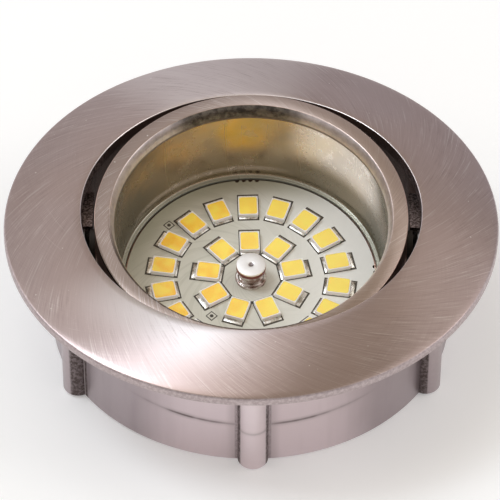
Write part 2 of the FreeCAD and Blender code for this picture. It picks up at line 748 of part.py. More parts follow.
def make_grommet():
    """A rubber grommet in the cup's floor, the cable's way in."""
    body = new_body("cable_grommet", CUP)
    steps = [
        ("grommet_flange", f"-{FLOOR_TOP}", "grommet_inside"),
        ("grommet_barrel", f"-{FLOOR_BOTTOM}", "floor_wall"),
        ("grommet_flange", f"-({FLOOR_BOTTOM} + grommet_outside)", "grommet_outside"),
    ]
    for index, (radius, lift, height) in enumerate(steps):
        sketch = new_sketch(body, f"grommet_sketch_{index}", "XY_Plane", lift=lift)
        add_circle(sketch, "0", "grommet_offset", radius)
        add_circle(sketch, "0", "grommet_offset", "grommet_bore")
        pad(body, f"grommet_step_{index}", sketch, height)


# ---------------------------------------------------------------------------------------------
# Build, check and write
# ---------------------------------------------------------------------------------------------

make_housing()
make_pivot_pins()
make_friction_washers()
make_spring_washers()
make_cup()
make_reflector()
make_board()
make_led_ring("outer")
make_led_ring("inner")
make_post()
make_film()
make_rectifier()
make_resistors()
make_capacitors()
make_terminals()
make_grommet()
for piece in CUP:
    place_on_cup(piece)
doc.recompute()

for item in doc.Objects:
    if "Invalid" in item.State or "Error" in item.State:
        raise RuntimeError(f"{item.Name} did not build: {item.State}")
for piece in FIXED + CUP:
    shape = piece.Shape
    if shape.isNull() or not shape.isValid() or not shape.Solids:
        raise RuntimeError(f"{piece.Label} has no valid solid")

os.makedirs("parts", exist_ok=True)
for piece in FIXED + CUP:
    piece.Shape.exportStep(f"parts/{piece.Label}.step")
    box = piece.Shape.BoundBox
    print(f"{piece.Label:24s} solids {len(piece.Shape.Solids):3d}  volume {piece.Shape.Volume:10.3f}"
          f"  z {box.ZMin:7.2f} to {box.ZMax:6.2f}  x {box.XMin:7.2f} to {box.XMax:6.2f}")
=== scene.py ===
import json
import math
from functools import reduce

import bmesh
import bpy
from mathutils import Matrix, Vector


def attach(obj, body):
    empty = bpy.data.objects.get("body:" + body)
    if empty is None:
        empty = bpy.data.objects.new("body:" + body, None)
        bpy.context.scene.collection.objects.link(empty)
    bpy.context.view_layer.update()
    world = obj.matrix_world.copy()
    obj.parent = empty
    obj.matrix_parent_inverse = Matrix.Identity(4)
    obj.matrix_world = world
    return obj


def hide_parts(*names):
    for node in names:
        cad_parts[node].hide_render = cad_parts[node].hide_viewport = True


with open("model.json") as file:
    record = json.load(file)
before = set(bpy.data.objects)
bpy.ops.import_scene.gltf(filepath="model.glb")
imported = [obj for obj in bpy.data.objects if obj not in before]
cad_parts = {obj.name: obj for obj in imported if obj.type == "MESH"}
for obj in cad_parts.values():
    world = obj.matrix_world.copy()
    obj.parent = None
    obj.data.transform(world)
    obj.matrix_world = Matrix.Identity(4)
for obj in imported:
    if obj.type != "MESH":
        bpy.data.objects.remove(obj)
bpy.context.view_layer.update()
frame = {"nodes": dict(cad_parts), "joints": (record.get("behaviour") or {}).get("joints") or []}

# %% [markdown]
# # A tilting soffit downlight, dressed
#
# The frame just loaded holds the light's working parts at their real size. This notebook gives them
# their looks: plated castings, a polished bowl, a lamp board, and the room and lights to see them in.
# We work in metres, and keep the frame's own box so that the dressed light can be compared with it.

MM = 0.001
nodes = frame["nodes"]


def link(name, data):
    """An object with this data, put into the scene."""
    made = bpy.data.objects.new(name, data)
    bpy.context.scene.collection.objects.link(made)
    return made


# %% [markdown]
# ## Where things are
#
# The light lies on its back. Its cup tilts about a pivot, whose place the frame's joint gives. The
# cup's pieces are easiest to model level, about the pivot, and to tilt as their last step. So we keep
# one matrix that takes a piece from there to its place. The lamps sit on the board a little turned.

# %% The pivot, the tilt and the cup's matrix
FIXED = "fixed_housing"
CUP = "tilting_cup"
TILT = math.radians(8.4)
BOARD_TURN = math.radians(2.05)
pivot = Vector(frame["joints"][0]["pos_m"])
to_cup = Matrix.Translation(pivot) @ Matrix.Rotation(TILT, 4, "X")
to_board = to_cup @ Matrix.Rotation(BOARD_TURN, 4, "Z")
print("pivot", tuple(round(c / MM, 2) for c in pivot), "mm")

# %% [markdown]
# ## Sizes
#
# The shapes and the finishes use the same sizes, so these come first. The housing's are radii about
# the face's axis and heights above the table. The cup's are measured from the pivot, with the cup
# level. All of them are in millimetres, and the helpers below turn them into metres.

# %% Housing sizes
FACE_TOP = 18.3
FACE_RISE = 2.28
FACE_INNER = FACE_TOP + FACE_RISE
FACE_EDGE = 34.0
FACE_CURVE = 70.0
SEAT = FACE_TOP - 1.2
OPENING = 23.37
OPENING_DEPTH = 1.9
SKIRT_OUT = 27.9
SKIRT_IN = 26.2
WALL_MIDDLE = (SKIRT_OUT + SKIRT_IN) / 2
REFLECTION_LINE = 7.0
REFLECTION_CLIMB = 1.3
REFLECTION_REACH = 18.0
RIB_CIRCLE = 27.66
RIB_RADIUS = 2.09
RIB_COUNT = 6
RIB_SPACING = 2 * math.pi / RIB_COUNT
FRONT_RIB = math.radians(-89.3)
PIVOT_HEIGHT = pivot.z / MM
BEARING_FACE = 23.35
BEARING_HALF = 2.6
SHOULDER_FACE = 22.0
SHOULDER_RISE = 1.3
SHOULDER_ENDS = (2.35, 9.35)
STOP_ENDS = (2.044, 3.844)
STOP_DROPS = (6.8, 3.2)
print(f"face {2 * FACE_EDGE:.0f} mm, opening {2 * OPENING:.1f} mm, skirt {2 * SKIRT_OUT:.1f} mm")

# %% Cup, bowl, board and post sizes
LIP_OUT = 21.55
LIP_IN = 19.45
LIP_TOP = 6.8
LIP_RISE = 0.25
BEAD_CURVE = 4.0
WALL_FOOT = (21.35, -4.0)
BOWL_TOP = 5.0
BOWL_TOP_RADIUS = 18.8
BOWL_BOTTOM_RADIUS = 18.4
BOWL_RIM = -7.25
BOWL_CURVE = 60.0
SHEET = 0.4
FIT = 0.06
BOARD_TOP = -7.45
BOARD_UNDER = -8.45
POCKET = 17.8
FLOOR_IN = -10.2
FLOOR_OUT = -11.1
FLOOR_EDGE = 15.0
FLOOR_CURVE = 9.0
CAVITY_FOOT = 13.6
LEDGE = 16.2
GROMMET_Y = 9.3
GROMMET_HOLE = 2.2
STUD_HOLE = 1.05
PIN_HOLE = 1.03
PAD_START = 20.6
POST_TOP = BOARD_TOP + 3.15
HEAD_UNDER = POST_TOP - 0.25
COLLAR_UNDER = HEAD_UNDER - 0.6
HEAD = 2.05
COLUMN = 1.72
COLLAR = 2.07
FOOT = 2.2
FOOT_TOP = BOARD_TOP + 0.45
DIMPLE = 0.45
STUD = 0.95
STUD_END = -12.8
print(f"lip {2 * LIP_OUT:.1f} mm, bowl {2 * BOWL_TOP_RADIUS:.1f} mm, board at {BOARD_TOP} mm")

# %% [markdown]
# ## The camera
#
# The photograph looks down at the face from 44 degrees, with a long lens: parallel lines hardly
# meet. The fitted distance is fourteen face radii. The lens follows from the face's width in the
# picture, and two small turns put the face's centre where the photograph has it.

# %% Camera
PICTURE = 500
SENSOR = 36.0
RADII_AWAY = 14
CAMERA_ELEVATION = math.radians(43.68)
CAMERA_ROLL = math.radians(0.2)
FACE_RADIUS_PIXELS = 247.3
FACE_CENTRE_PIXEL = (251.1, 219.9)
FACE_CENTRE = Vector((0, 0, FACE_TOP * MM))

focal_pixels = FACE_RADIUS_PIXELS * RADII_AWAY
pitch = math.atan((PICTURE / 2 - FACE_CENTRE_PIXEL[1]) / focal_pixels)
yaw = math.atan((FACE_CENTRE_PIXEL[0] - PICTURE / 2) / focal_pixels)
camera = link("camera", bpy.data.cameras.new("camera"))
camera.data.sensor_width = SENSOR
camera.data.lens = SENSOR * focal_pixels / PICTURE
camera.data.clip_start = 0.01
camera.data.clip_end = 10
back = Vector((0, -math.cos(CAMERA_ELEVATION), math.sin(CAMERA_ELEVATION)))
camera.location = FACE_CENTRE + back * (RADII_AWAY * FACE_EDGE * MM)
aim = Matrix.Rotation(math.pi / 2 - CAMERA_ELEVATION, 4, "X")
camera.rotation_euler = (aim @ Matrix.Rotation(yaw, 4, "Y") @ Matrix.Rotation(-pitch, 4, "X")
                         @ Matrix.Rotation(CAMERA_ROLL, 4, "Z")).to_euler()
bpy.context.scene.camera = camera
print(f"lens {camera.data.lens:.0f} mm")

# %% [markdown]
# ## Turning a section
#
# Nearly every part here is round: it was cast in a turned mould or spun on a lathe. We draw half a
# section as a closed outline and spin it. Round stretches of the outline come from a small arc
# function, and sharp edges are softened afterwards with a bevel, which is what catches the light.

# %% Outline and lathe helpers
SAME_PLACE = 2e-6


def arc(start, end, radius, bulge, steps=12):
    """Points after start up to end, on an arc that bulges left of the way (1) or right of it (-1)."""
    first = Vector(start)
    last = Vector(end)
    chord = last - first
    side = Vector((-chord.y, chord.x)).normalized() * bulge
    centre = (first + last) / 2 - side * math.sqrt(radius ** 2 - (chord.length / 2) ** 2)
    sweep = -bulge * 2 * math.asin(chord.length / 2 / radius)
    return [tuple(centre + Matrix.Rotation(sweep * step / steps, 2) @ (first - centre))
            for step in range(1, steps + 1)]


def round_edges(bm, edges, width, segments=3):
    """Bevel edges by a width in millimetres."""
    bmesh.ops.bevel(bm, geom=edges, offset=width * MM, offset_type="OFFSET", segments=segments,
                    profile=0.5, affect="EDGES", material=-1, clamp_overlap=True)


def soften_ring(bm, radius, height, width, segments=3):
    """Bevel the edge that runs round at this radius and height, in millimetres."""
    def near(vert):
        return (abs(vert.co.xy.length - radius * MM) < SAME_PLACE
                and abs(vert.co.z - height * MM) < SAME_PLACE)
    round_edges(bm, [edge for edge in bm.edges if all(map(near, edge.verts))], width, segments)


def lathe(outline, softened=(), steps=192):
    """Spin a closed outline of (radius, height) pairs about the Z axis, and soften some of its rings."""
    bm = bmesh.new()
    ring = [bm.verts.new((radius * MM, 0, height * MM)) for radius, height in outline]
    edges = [bm.edges.new(pair) for pair in zip(ring, ring[1:] + ring[:1])]
    bmesh.ops.spin(bm, geom=ring + edges, cent=(0, 0, 0), axis=(0, 0, 1), dvec=(0, 0, 0),
                   angle=2 * math.pi, steps=steps, use_merge=True, use_duplicate=False)
    bmesh.ops.remove_doubles(bm, verts=bm.verts, dist=1e-7)
    bmesh.ops.delete(bm, geom=[face for face in bm.faces if face.calc_area() < 1e-14], context="FACES")
    bmesh.ops.recalc_face_normals(bm, faces=bm.faces)
    for place in softened:
        soften_ring(bm, *place)
    return bm


# %% [markdown]
# ## Boxes, bars and finished pieces
#
# What isn't turned is a box or a bar with softened edges. Every piece ends the same way: it is smoothed
# up to an angle, moved to its place in its mesh, and tied to the body that it moves with.

# %% Box and bar helpers
def add_block(bm, low, high):
    """A sharp box between two corners, in millimetres. Returns its vertices."""
    made = bmesh.ops.create_cube(bm, size=1.0)["verts"]
    bmesh.ops.scale(bm, verts=made, vec=[(b - a) * MM for a, b in zip(low, high)])
    bmesh.ops.translate(bm, verts=made, vec=[(a + b) / 2 * MM for a, b in zip(low, high)])
    return made


def edges_among(bm, verts):
    """The edges whose ends are both among the vertices."""
    return [edge for edge in bm.edges if all(vert in verts for vert in edge.verts)]


def add_box(bm, low, high, width=0.15, segments=2):
    """A bevelled box between two corners, in millimetres."""
    round_edges(bm, edges_among(bm, add_block(bm, low, high)), width, segments)


def add_bar(bm, centre, radius, low, high, segments):
    """An upright bar, round or with a few sides, in millimetres. Returns its vertices."""
    made = bmesh.ops.create_cone(bm, cap_ends=True, cap_tris=False, segments=segments, radius1=radius * MM,
                                 radius2=radius * MM, depth=(high - low) * MM)["verts"]
    bmesh.ops.translate(bm, verts=made, vec=(centre[0] * MM, centre[1] * MM, (low + high) / 2 * MM))
    return made


def add_column(bm, centre, radius, low, high, round_off=0.3, segments=40):
    """An upright round column, in millimetres, with its lower edge rounded."""
    made = add_bar(bm, centre, radius, low, high, segments)
    foot = [vert for vert in made if abs(vert.co.z - low * MM) < 1e-7]
    round_edges(bm, edges_among(bm, foot), round_off, 4)


# %% Piece helpers
SMOOTH_ANGLE = math.radians(32)


def to_mesh(bm, name):
    """Turn a bmesh into a mesh, and free it."""
    mesh = bpy.data.meshes.new(name)
    bm.to_mesh(mesh)
    bm.free()
    return mesh


def finish_piece(bm, name, replaced, material, matrix=None):
    """Make the object. With a matrix it is a piece of the cup, without one a piece of the housing."""
    mesh = to_mesh(bm, name)
    mesh.shade_smooth()
    mesh.set_sharp_from_angle(angle=SMOOTH_ANGLE)
    if matrix is not None:
        mesh.transform(matrix)
    mesh.materials.append(material)
    piece = link(name, mesh)
    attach(piece, FIXED if matrix is None else CUP)
    if replaced:
        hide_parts(*replaced)
    print(f"{name}: {len(mesh.polygons)} faces")
    return piece


def dress(material, *names):
    """Give CAD nodes their material."""
    for name in names:
        nodes[name].data.materials.clear()
        nodes[name].data.materials.append(material)
    print(material.name, "on", ", ".join(names))


# %% [markdown]
# ## A graph of nodes
#
# A material is a small graph. The first class adds nodes in short calls, fed with sockets, numbers,
# vectors or colours of three numbers. The second makes masks, which are values from 0 to 1, and
# colours: `paint` lays colours over one another, each by its own mask, and `measure` gives places in
# millimetres, so that masks can use the sizes above.

# %% Graph class
class Graph:
    """A node tree with short calls for adding nodes."""

    def __init__(self, tree):
        self.tree = tree

    def feed(self, socket, source):
        """Link an input to a socket, or set it."""
        if isinstance(source, bpy.types.NodeSocket):
            self.tree.links.new(source, socket)
        else:
            socket.default_value = (*source, 1) if socket.type == "RGBA" else source

    def node(self, kind, *sources, **settings):
        """Add a node, set the named properties and inputs, and feed its first inputs in order."""
        made = self.tree.nodes.new(f"ShaderNode{kind}")
        for key, setting in settings.items():
            if hasattr(made, key):
                setattr(made, key, setting)
            else:
                self.feed(made.inputs[key.replace("_", " ")], setting)
        for socket, source in zip(made.inputs, sources):
            self.feed(socket, source)
        return made.outputs

    def use(self, group, **sources):
        """Place a node group."""
        return self.node("Group", node_tree=group, **sources)

    def vector_math(self, operation, *sources, **settings):
        """A vector math node."""
        return self.node("VectorMath", *sources, operation=operation, **settings)

    def math(self, operation, *sources):
        """A math node."""
        return self.node("Math", *sources, operation=operation)[0]

    def times(self, *sources):
        """The product of some values."""
        return reduce(lambda a, b: self.math("MULTIPLY", a, b), sources)

    def most(self, *sources):
        """The largest of some values."""
        return reduce(lambda a, b: self.math("MAXIMUM", a, b), sources)

    def line(self, value, slope, start):
        """The value times a slope, plus a start."""
        return self.math("MULTIPLY_ADD", value, slope, start)


# %% Painter class
class Painter(Graph):
    """A graph with calls for masks and colours."""

    def ramp(self, value, low, high, start=0.0, end=1.0):
        """A smooth step from start, where the value is low, to end, where it is high."""
        return self.node("MapRange", value, low, high, start, end, interpolation_type="SMOOTHSTEP")[0]

    def between(self, value, low, high, blur):
        """A mask that is 1 where the value lies between low and high."""
        return self.times(self.ramp(value, low - blur, low + blur),
                          self.ramp(value, high - blur, high + blur, 1.0, 0.0))

    def noise(self, vector, scale, detail=2.0, roughness=0.5):
        """A noise value over a vector."""
        return self.node("TexNoise", Vector=vector, Scale=scale, Detail=detail, Roughness=roughness)[0]

    def mix(self, factor, first, second):
        """Mix two values, or two colours if either of them is one."""
        pair = (first, second)
        in_colour = any(isinstance(one, tuple) or getattr(one, "type", "") == "RGBA" for one in pair)
        kind, start, result = ("RGBA", 6, 2) if in_colour else ("FLOAT", 2, 0)
        mixed = self.node("Mix", factor, data_type=kind)[result]
        for index, source in enumerate(pair, start):
            self.feed(mixed.node.inputs[index], source)
        return mixed

    def paint(self, colour, *layers):
        """Lay colours over a first one, each by its own mask."""
        for mask, layer in layers:
            colour = self.mix(mask, colour, layer)
        return colour

    def flat(self, vector):
        """The vector without its height."""
        return self.vector_math("MULTIPLY", vector, (1, 1, 0))[0]

    def measure(self, vector):
        """X, Y and height in millimetres, and the distance from the Z axis."""
        scaled = self.vector_math("SCALE", vector, Scale=1 / MM)[0]
        return (*self.node("SeparateXYZ", scaled), self.vector_math("LENGTH", self.flat(scaled))["Value"])

    def facing(self, vector, azimuth, start, end):
        """A mask of what lies towards an azimuth, from the cosine of the way to it."""
        turn = math.radians(azimuth)
        unit = self.vector_math("NORMALIZE", self.flat(vector))[0]
        cosine = self.vector_math("DOT_PRODUCT", unit, (math.cos(turn), math.sin(turn), 0))["Value"]
        return self.ramp(cosine, start, end)


# %% [markdown]
# ## A start for each finish
#
# Every finish begins the same way: a Principled BSDF, its constants set on its own sockets, and the
# object's own coordinates, which stay with the piece when it moves. For a piece of the cup they are
# also given level with the cup, about the pivot, because its marks follow its own axis.

# %% Finish class and new groups
class Finish(Painter):
    """A material with one Principled BSDF."""

    def __init__(self, name, **constants):
        self.material = bpy.data.materials.new(name)
        self.material.use_nodes = True
        super().__init__(self.material.node_tree)
        self.surface(**constants)
        self.place = self.node("TexCoord")["Object"]

    def level(self):
        """The coordinates about the pivot, turned level with the cup."""
        return self.node("Mapping", self.place, vector_type="TEXTURE", Location=pivot,
                         Rotation=(TILT, 0, 0))[0]

    def surface(self, **sources):
        """Feed inputs of the Principled BSDF. Returns the material."""
        for key, source in sources.items():
            self.feed(self.tree.nodes["Principled BSDF"].inputs[key.replace("_", " ")], source)
        return self.material

    def bump(self, height, distance, strength=0.5):
        """Bump from a height, over a distance in millimetres."""
        self.surface(Normal=self.node("Bump", Height=height, Distance=distance * MM, Strength=strength)[0])


def new_group(name, outputs, **values):
    """A node group that takes a vector and values, and gives values. Returns its graph and both ends."""
    tree = bpy.data.node_groups.new(name, "ShaderNodeTree")
    tree.interface.new_socket(name="Vector", in_out="INPUT", socket_type="NodeSocketVector")
    for label, default in values.items():
        socket = tree.interface.new_socket(name=label, in_out="INPUT", socket_type="NodeSocketFloat")
        socket.default_value = default
    for label in outputs:
        tree.interface.new_socket(name=label, in_out="OUTPUT", socket_type="NodeSocketFloat")
    given = tree.nodes.new("NodeGroupInput").outputs
    return Painter(tree), given, tree.nodes.new("NodeGroupOutput").inputs


# %% [markdown]
# ## The brushed grain
#
# The face plate was brushed while it turned under a belt, so its scratches are not circles: each one
# runs inward at the same slant, like the arms of a spiral. Along such an arm the direction from the
# centre, turned back by the logarithm of the radius, stays the same. So noise that reads this turned
# direction finely and the radius coarsely gives long scratches with the right slant everywhere. The
# group is built once and gives masks only, because every brushed or turned finish here uses it.

# %% Spiral coordinates and the grain group
BRUSH_SLANT = math.radians(-38)
CROSS_SLANT = math.radians(24)


def spiral_vector(g, vector, slant, across, along):
    """A vector that changes fast across a spiral's arms and slowly along them."""
    flat = g.flat(vector)
    radius = g.vector_math("LENGTH", flat)["Value"]
    unit = g.vector_math("NORMALIZE", flat)[0]
    turn = g.times(g.math("LOGARITHM", radius, math.e), 1 / math.tan(slant))
    turned = g.node("VectorRotate", unit, rotation_type="Z_AXIS", Angle=turn)[0]
    wide = g.vector_math("SCALE", turned, Scale=across)[0]
    return g.vector_math("ADD", wide, g.node("CombineXYZ", Z=g.times(radius, along))[0])[0]


def make_grain_group():
    """Slanting scratches, a fainter set that crosses them, and a few deep ones."""
    g, given, result = new_group("brushed grain", ("Grain", "Crossing", "Scratches"),
                                 Fineness=240.0, Length=160.0)
    main, cross = (spiral_vector(g, given["Vector"], slant, given["Fineness"], given["Length"])
                   for slant in (BRUSH_SLANT, CROSS_SLANT))
    g.feed(result["Grain"], g.noise(main, 1.0, 3.0, 0.65))
    g.feed(result["Crossing"], g.noise(cross, 0.8, 2.0, 0.6))
    deep = g.ramp(g.noise(main, 0.55, 1.0), 0.66, 0.74)
    deeper = g.ramp(g.noise(cross, 0.45, 1.0), 0.76, 0.82)
    g.feed(result["Scratches"], g.most(deep, deeper))
    return g.tree


GRAIN = make_grain_group()
print("grain group:", len(GRAIN.nodes), "nodes")

# %% [markdown]
# ## Cast skin, specks and worn edges
#
# Where the casting wasn't brushed, plating lies over a skin with soft hollows and small pits. Specks of
# dust lie on every face. Bright edges come from handling: the pointiness of the mesh finds them. These
# are groups as well, because the housing and the cup both need them.

# %% Skin, speck and edge groups
def make_skin_group():
    """Soft hollows with small pits, as on a die casting."""
    g, given, result = new_group("cast skin", ("Height",), Scale=900.0)
    scaled = g.vector_math("SCALE", given["Vector"], Scale=given["Scale"])[0]
    pits = g.ramp(g.noise(scaled, 3.1, 1.0), 0.30, 0.38)
    g.feed(result["Height"], g.times(g.noise(scaled, 1.0, 4.0, 0.6), pits))
    return g.tree


def make_speck_group():
    """Scattered small dots, each with its own size."""
    g, given, result = new_group("specks", ("Mask",), Scale=700.0, Amount=0.1)
    cells = g.node("TexVoronoi", Vector=given["Vector"], Scale=given["Scale"])
    tint = g.node("SeparateColor", cells["Color"])[0]
    size = g.times(given["Amount"], g.math("POWER", tint, 6.0))
    g.feed(result["Mask"], g.math("LESS_THAN", cells["Distance"], size))
    return g.tree


def make_edge_group():
    """A mask of the sharp outer edges, unevenly worn."""
    g, given, result = new_group("worn edges", ("Mask",), Start=0.53, End=0.58)
    uneven = g.line(g.noise(given["Vector"], 1500.0, 3.0, 0.7), 0.04, -0.02)
    sharp = g.math("ADD", g.node("NewGeometry")["Pointiness"], uneven)
    g.feed(result["Mask"], g.node("MapRange", sharp, given["Start"], given["End"])[0])
    return g.tree


SKIN = make_skin_group()
SPECKS = make_speck_group()
EDGES = make_edge_group()
print("groups:", [group.name for group in bpy.data.node_groups])

# %% [markdown]
# ## Brushed nickel for the face and the lip
#
# Brushing makes a surface that is rough across its scratches and smooth along them, so a lamp's
# reflection is drawn out into a fan. The shader's anisotropy does this. Its tangent runs round the
# axis, and a constant rotation turns it square to the slanting scratches. Bump and small changes of
# colour then show the single scratches, and specks of dust lie on top. The tone also changes round
# the ring, because the studio round the light isn't even: masks by azimuth carry that as painted
# light and shade, with a painted highlight on the face at the front left and painted shade on the lip.

# %% Painted light and shade round the ring
def lip_edges(g, level):
    """A mask of both edges of the lip where they lie towards the front left, in shade."""
    radius = g.measure(level)[3]
    inner = g.ramp(radius, LIP_IN + 0.23, LIP_IN + 0.13)
    outer = g.ramp(radius, LIP_OUT - 0.29, LIP_OUT - 0.19)
    return g.times(g.most(inner, outer), g.facing(level, 245, 0.4, 0.8))


def face_painted_light(g, place):
    """Painted light on the face: painted shade at its outer edge, a lighter painted rear and a painted
    highlight at the front left.
    """
    radius = g.measure(place)[3]
    # Painted highlight: the bright fan at the front left, strongest towards the opening.
    highlighted = g.times(g.ramp(radius, 32.0, 23.5, 0.0, 0.6), g.facing(place, 242, 0.80, 1.0))
    return ((g.ramp(radius, 27.0, 32.5, 0.0, 0.2), (0.33, 0.255, 0.24)),
            (g.facing(place, 100, 0.84, 0.98), (0.68, 0.59, 0.58)),
            (highlighted, (0.88, 0.85, 0.86)))


def lip_painted_shade(g, place):
    """Painted shade on the lip: darker at the left and at the front, and darkest at its edges there."""
    # Painted shade at the left, at the front, and on the edges towards the front left.
    return ((g.facing(place, 155, 0.0, 0.9), (0.36, 0.28, 0.25)),
            (g.facing(place, 250, 0.45, 0.95), (0.29, 0.225, 0.195)),
            (lip_edges(g, place), (0.09, 0.065, 0.05)))


# %% Brushed material
def make_brushed_material(name, warm, cool, tones, on_cup=False):
    """Slanted brushing with a few deeper scratches and specks."""
    turn = (math.pi / 2 + BRUSH_SLANT) / (2 * math.pi)
    g = Finish(name, Metallic=1.0, Anisotropic=0.85, Anisotropic_Rotation=turn)
    place = g.level() if on_cup else g.place
    grain = g.use(GRAIN, Vector=place, Fineness=130.0, Length=330.0)
    specks = g.use(SPECKS, Vector=place, Scale=900.0, Amount=0.12)["Mask"]
    lines = g.line(grain["Crossing"], 0.22, grain["Grain"])
    worked = g.ramp(g.noise(place, 120.0), 0.35, 0.65, 0.35, 1.0)
    # The tones lay painted light and shade round the ring over the base colour.
    colour = g.paint(
        g.mix(g.ramp(g.noise(place, 55.0), 0.35, 0.65), warm, cool), *tones(g, place),
        (g.times(g.ramp(lines, 0.60, 0.40, 0.0, 0.55), worked), (0.34, 0.26, 0.245)),
        (g.times(g.ramp(lines, 0.64, 0.84, 0.0, 0.75), worked), (0.72, 0.64, 0.62)),
        (g.most(g.times(grain["Scratches"], 0.30), g.times(specks, 0.8)), (0.80, 0.76, 0.73)))
    g.bump(g.line(specks, 0.8, lines), 0.014, 0.7)
    return g.surface(Base_Color=colour, Roughness=g.line(lines, 0.14, 0.24),
                     Tangent=g.node("Tangent", direction_type="RADIAL", axis="Z")[0])


FACE_NICKEL = make_brushed_material("brushed nickel face", (0.53, 0.415, 0.395), (0.53, 0.425, 0.415),
                                    face_painted_light)
LIP_NICKEL = make_brushed_material("brushed nickel lip", (0.54, 0.43, 0.385), (0.55, 0.44, 0.40),
                                   lip_painted_shade, on_cup=True)
print("materials:", FACE_NICKEL.name, "and", LIP_NICKEL.name)

# %% [markdown]
# ## Cast nickel for the rest of the housing
#
# Below the face the casting is as it left its mould, only plated. The skirt is smooth and glossy, with
# a painted dark reflection line that climbs away from the front. It has painted shade under the rim,
# in upward streaks, and beside the ribs, and painted light at the front. The rim was sheared and is
# mottled, the creases beside the ribs are rough and carry painted shade and a thin painted highlight,
# a painted glint runs along the opening's edge, and the inside is rougher still, with painted shade
# away from the pivots. Masks made from the radius, the height and the turn tell these places apart.

# %% Masks on the casting
def rib_offset(g, x, y, radius):
    """How far round the skirt a point lies from the middle of its nearest rib, in millimetres."""
    turn = g.math("ADD", g.math("ARCTAN2", y, x), RIB_SPACING / 2 - FRONT_RIB + 2 * math.pi)
    centred = g.math("SUBTRACT", g.math("MODULO", turn, RIB_SPACING), RIB_SPACING / 2)
    return g.math("ABSOLUTE", g.times(centred, radius))


def dark_reflection_line(g, x, height):
    """A painted dark reflection line: a thin line in a broad one, which climbs away from the front and fades
    out at the sides.
    """
    over = g.math("SUBTRACT", height, g.times(x, x, REFLECTION_CLIMB / REFLECTION_REACH ** 2))
    thin = g.between(over, REFLECTION_LINE - 0.16, REFLECTION_LINE + 0.16, 0.13)
    broad = g.between(over, REFLECTION_LINE - 0.35, REFLECTION_LINE + 0.35, 0.45)
    sideways = g.math("ABSOLUTE", x)
    uneven = g.ramp(g.noise(g.place, 260.0), 0.30, 0.60, 0.45, 1.0)
    return g.times(g.line(broad, 0.45, g.times(thin, 0.55)), g.ramp(sideways, 1.0, 6.0, 0.35, 1.0),
                   g.ramp(sideways, 8.0, REFLECTION_REACH, 1.0, 0.0), uneven)


def rib_creases(g, x, offset, radius):
    """Masks of the creases beside the ribs, wider on the left, for roughness and painted shade, and of a
    thin painted highlight line in the left ones.
    """
    left = g.times(g.ramp(x, -17.0, -19.0), g.between(radius, 27.6, 29.5, 0.1))
    left_crease_shade = g.times(left, g.between(offset, 1.1, 2.9, 0.25))
    crease = g.times(g.between(offset, 1.55, 2.45, 0.12), g.between(radius, 27.9, 28.9, 0.1))
    return g.most(crease, left_crease_shade), g.times(left, g.between(offset, 2.20, 2.32, 0.06))


def rough_inside(g, y, coarse):
    """The colour inside: gritty metal by the pivots, and painted shade away from them."""
    gritty = g.mix(g.ramp(coarse, 0.42, 0.62), (0.12, 0.09, 0.085), (0.50, 0.41, 0.40))
    # Painted shade deeper inside, away from the gaps at the pivots.
    return g.mix(g.ramp(g.math("ABSOLUTE", y), 9.0, 12.5, 0.0, 0.93), gritty, (0.12, 0.083, 0.072))


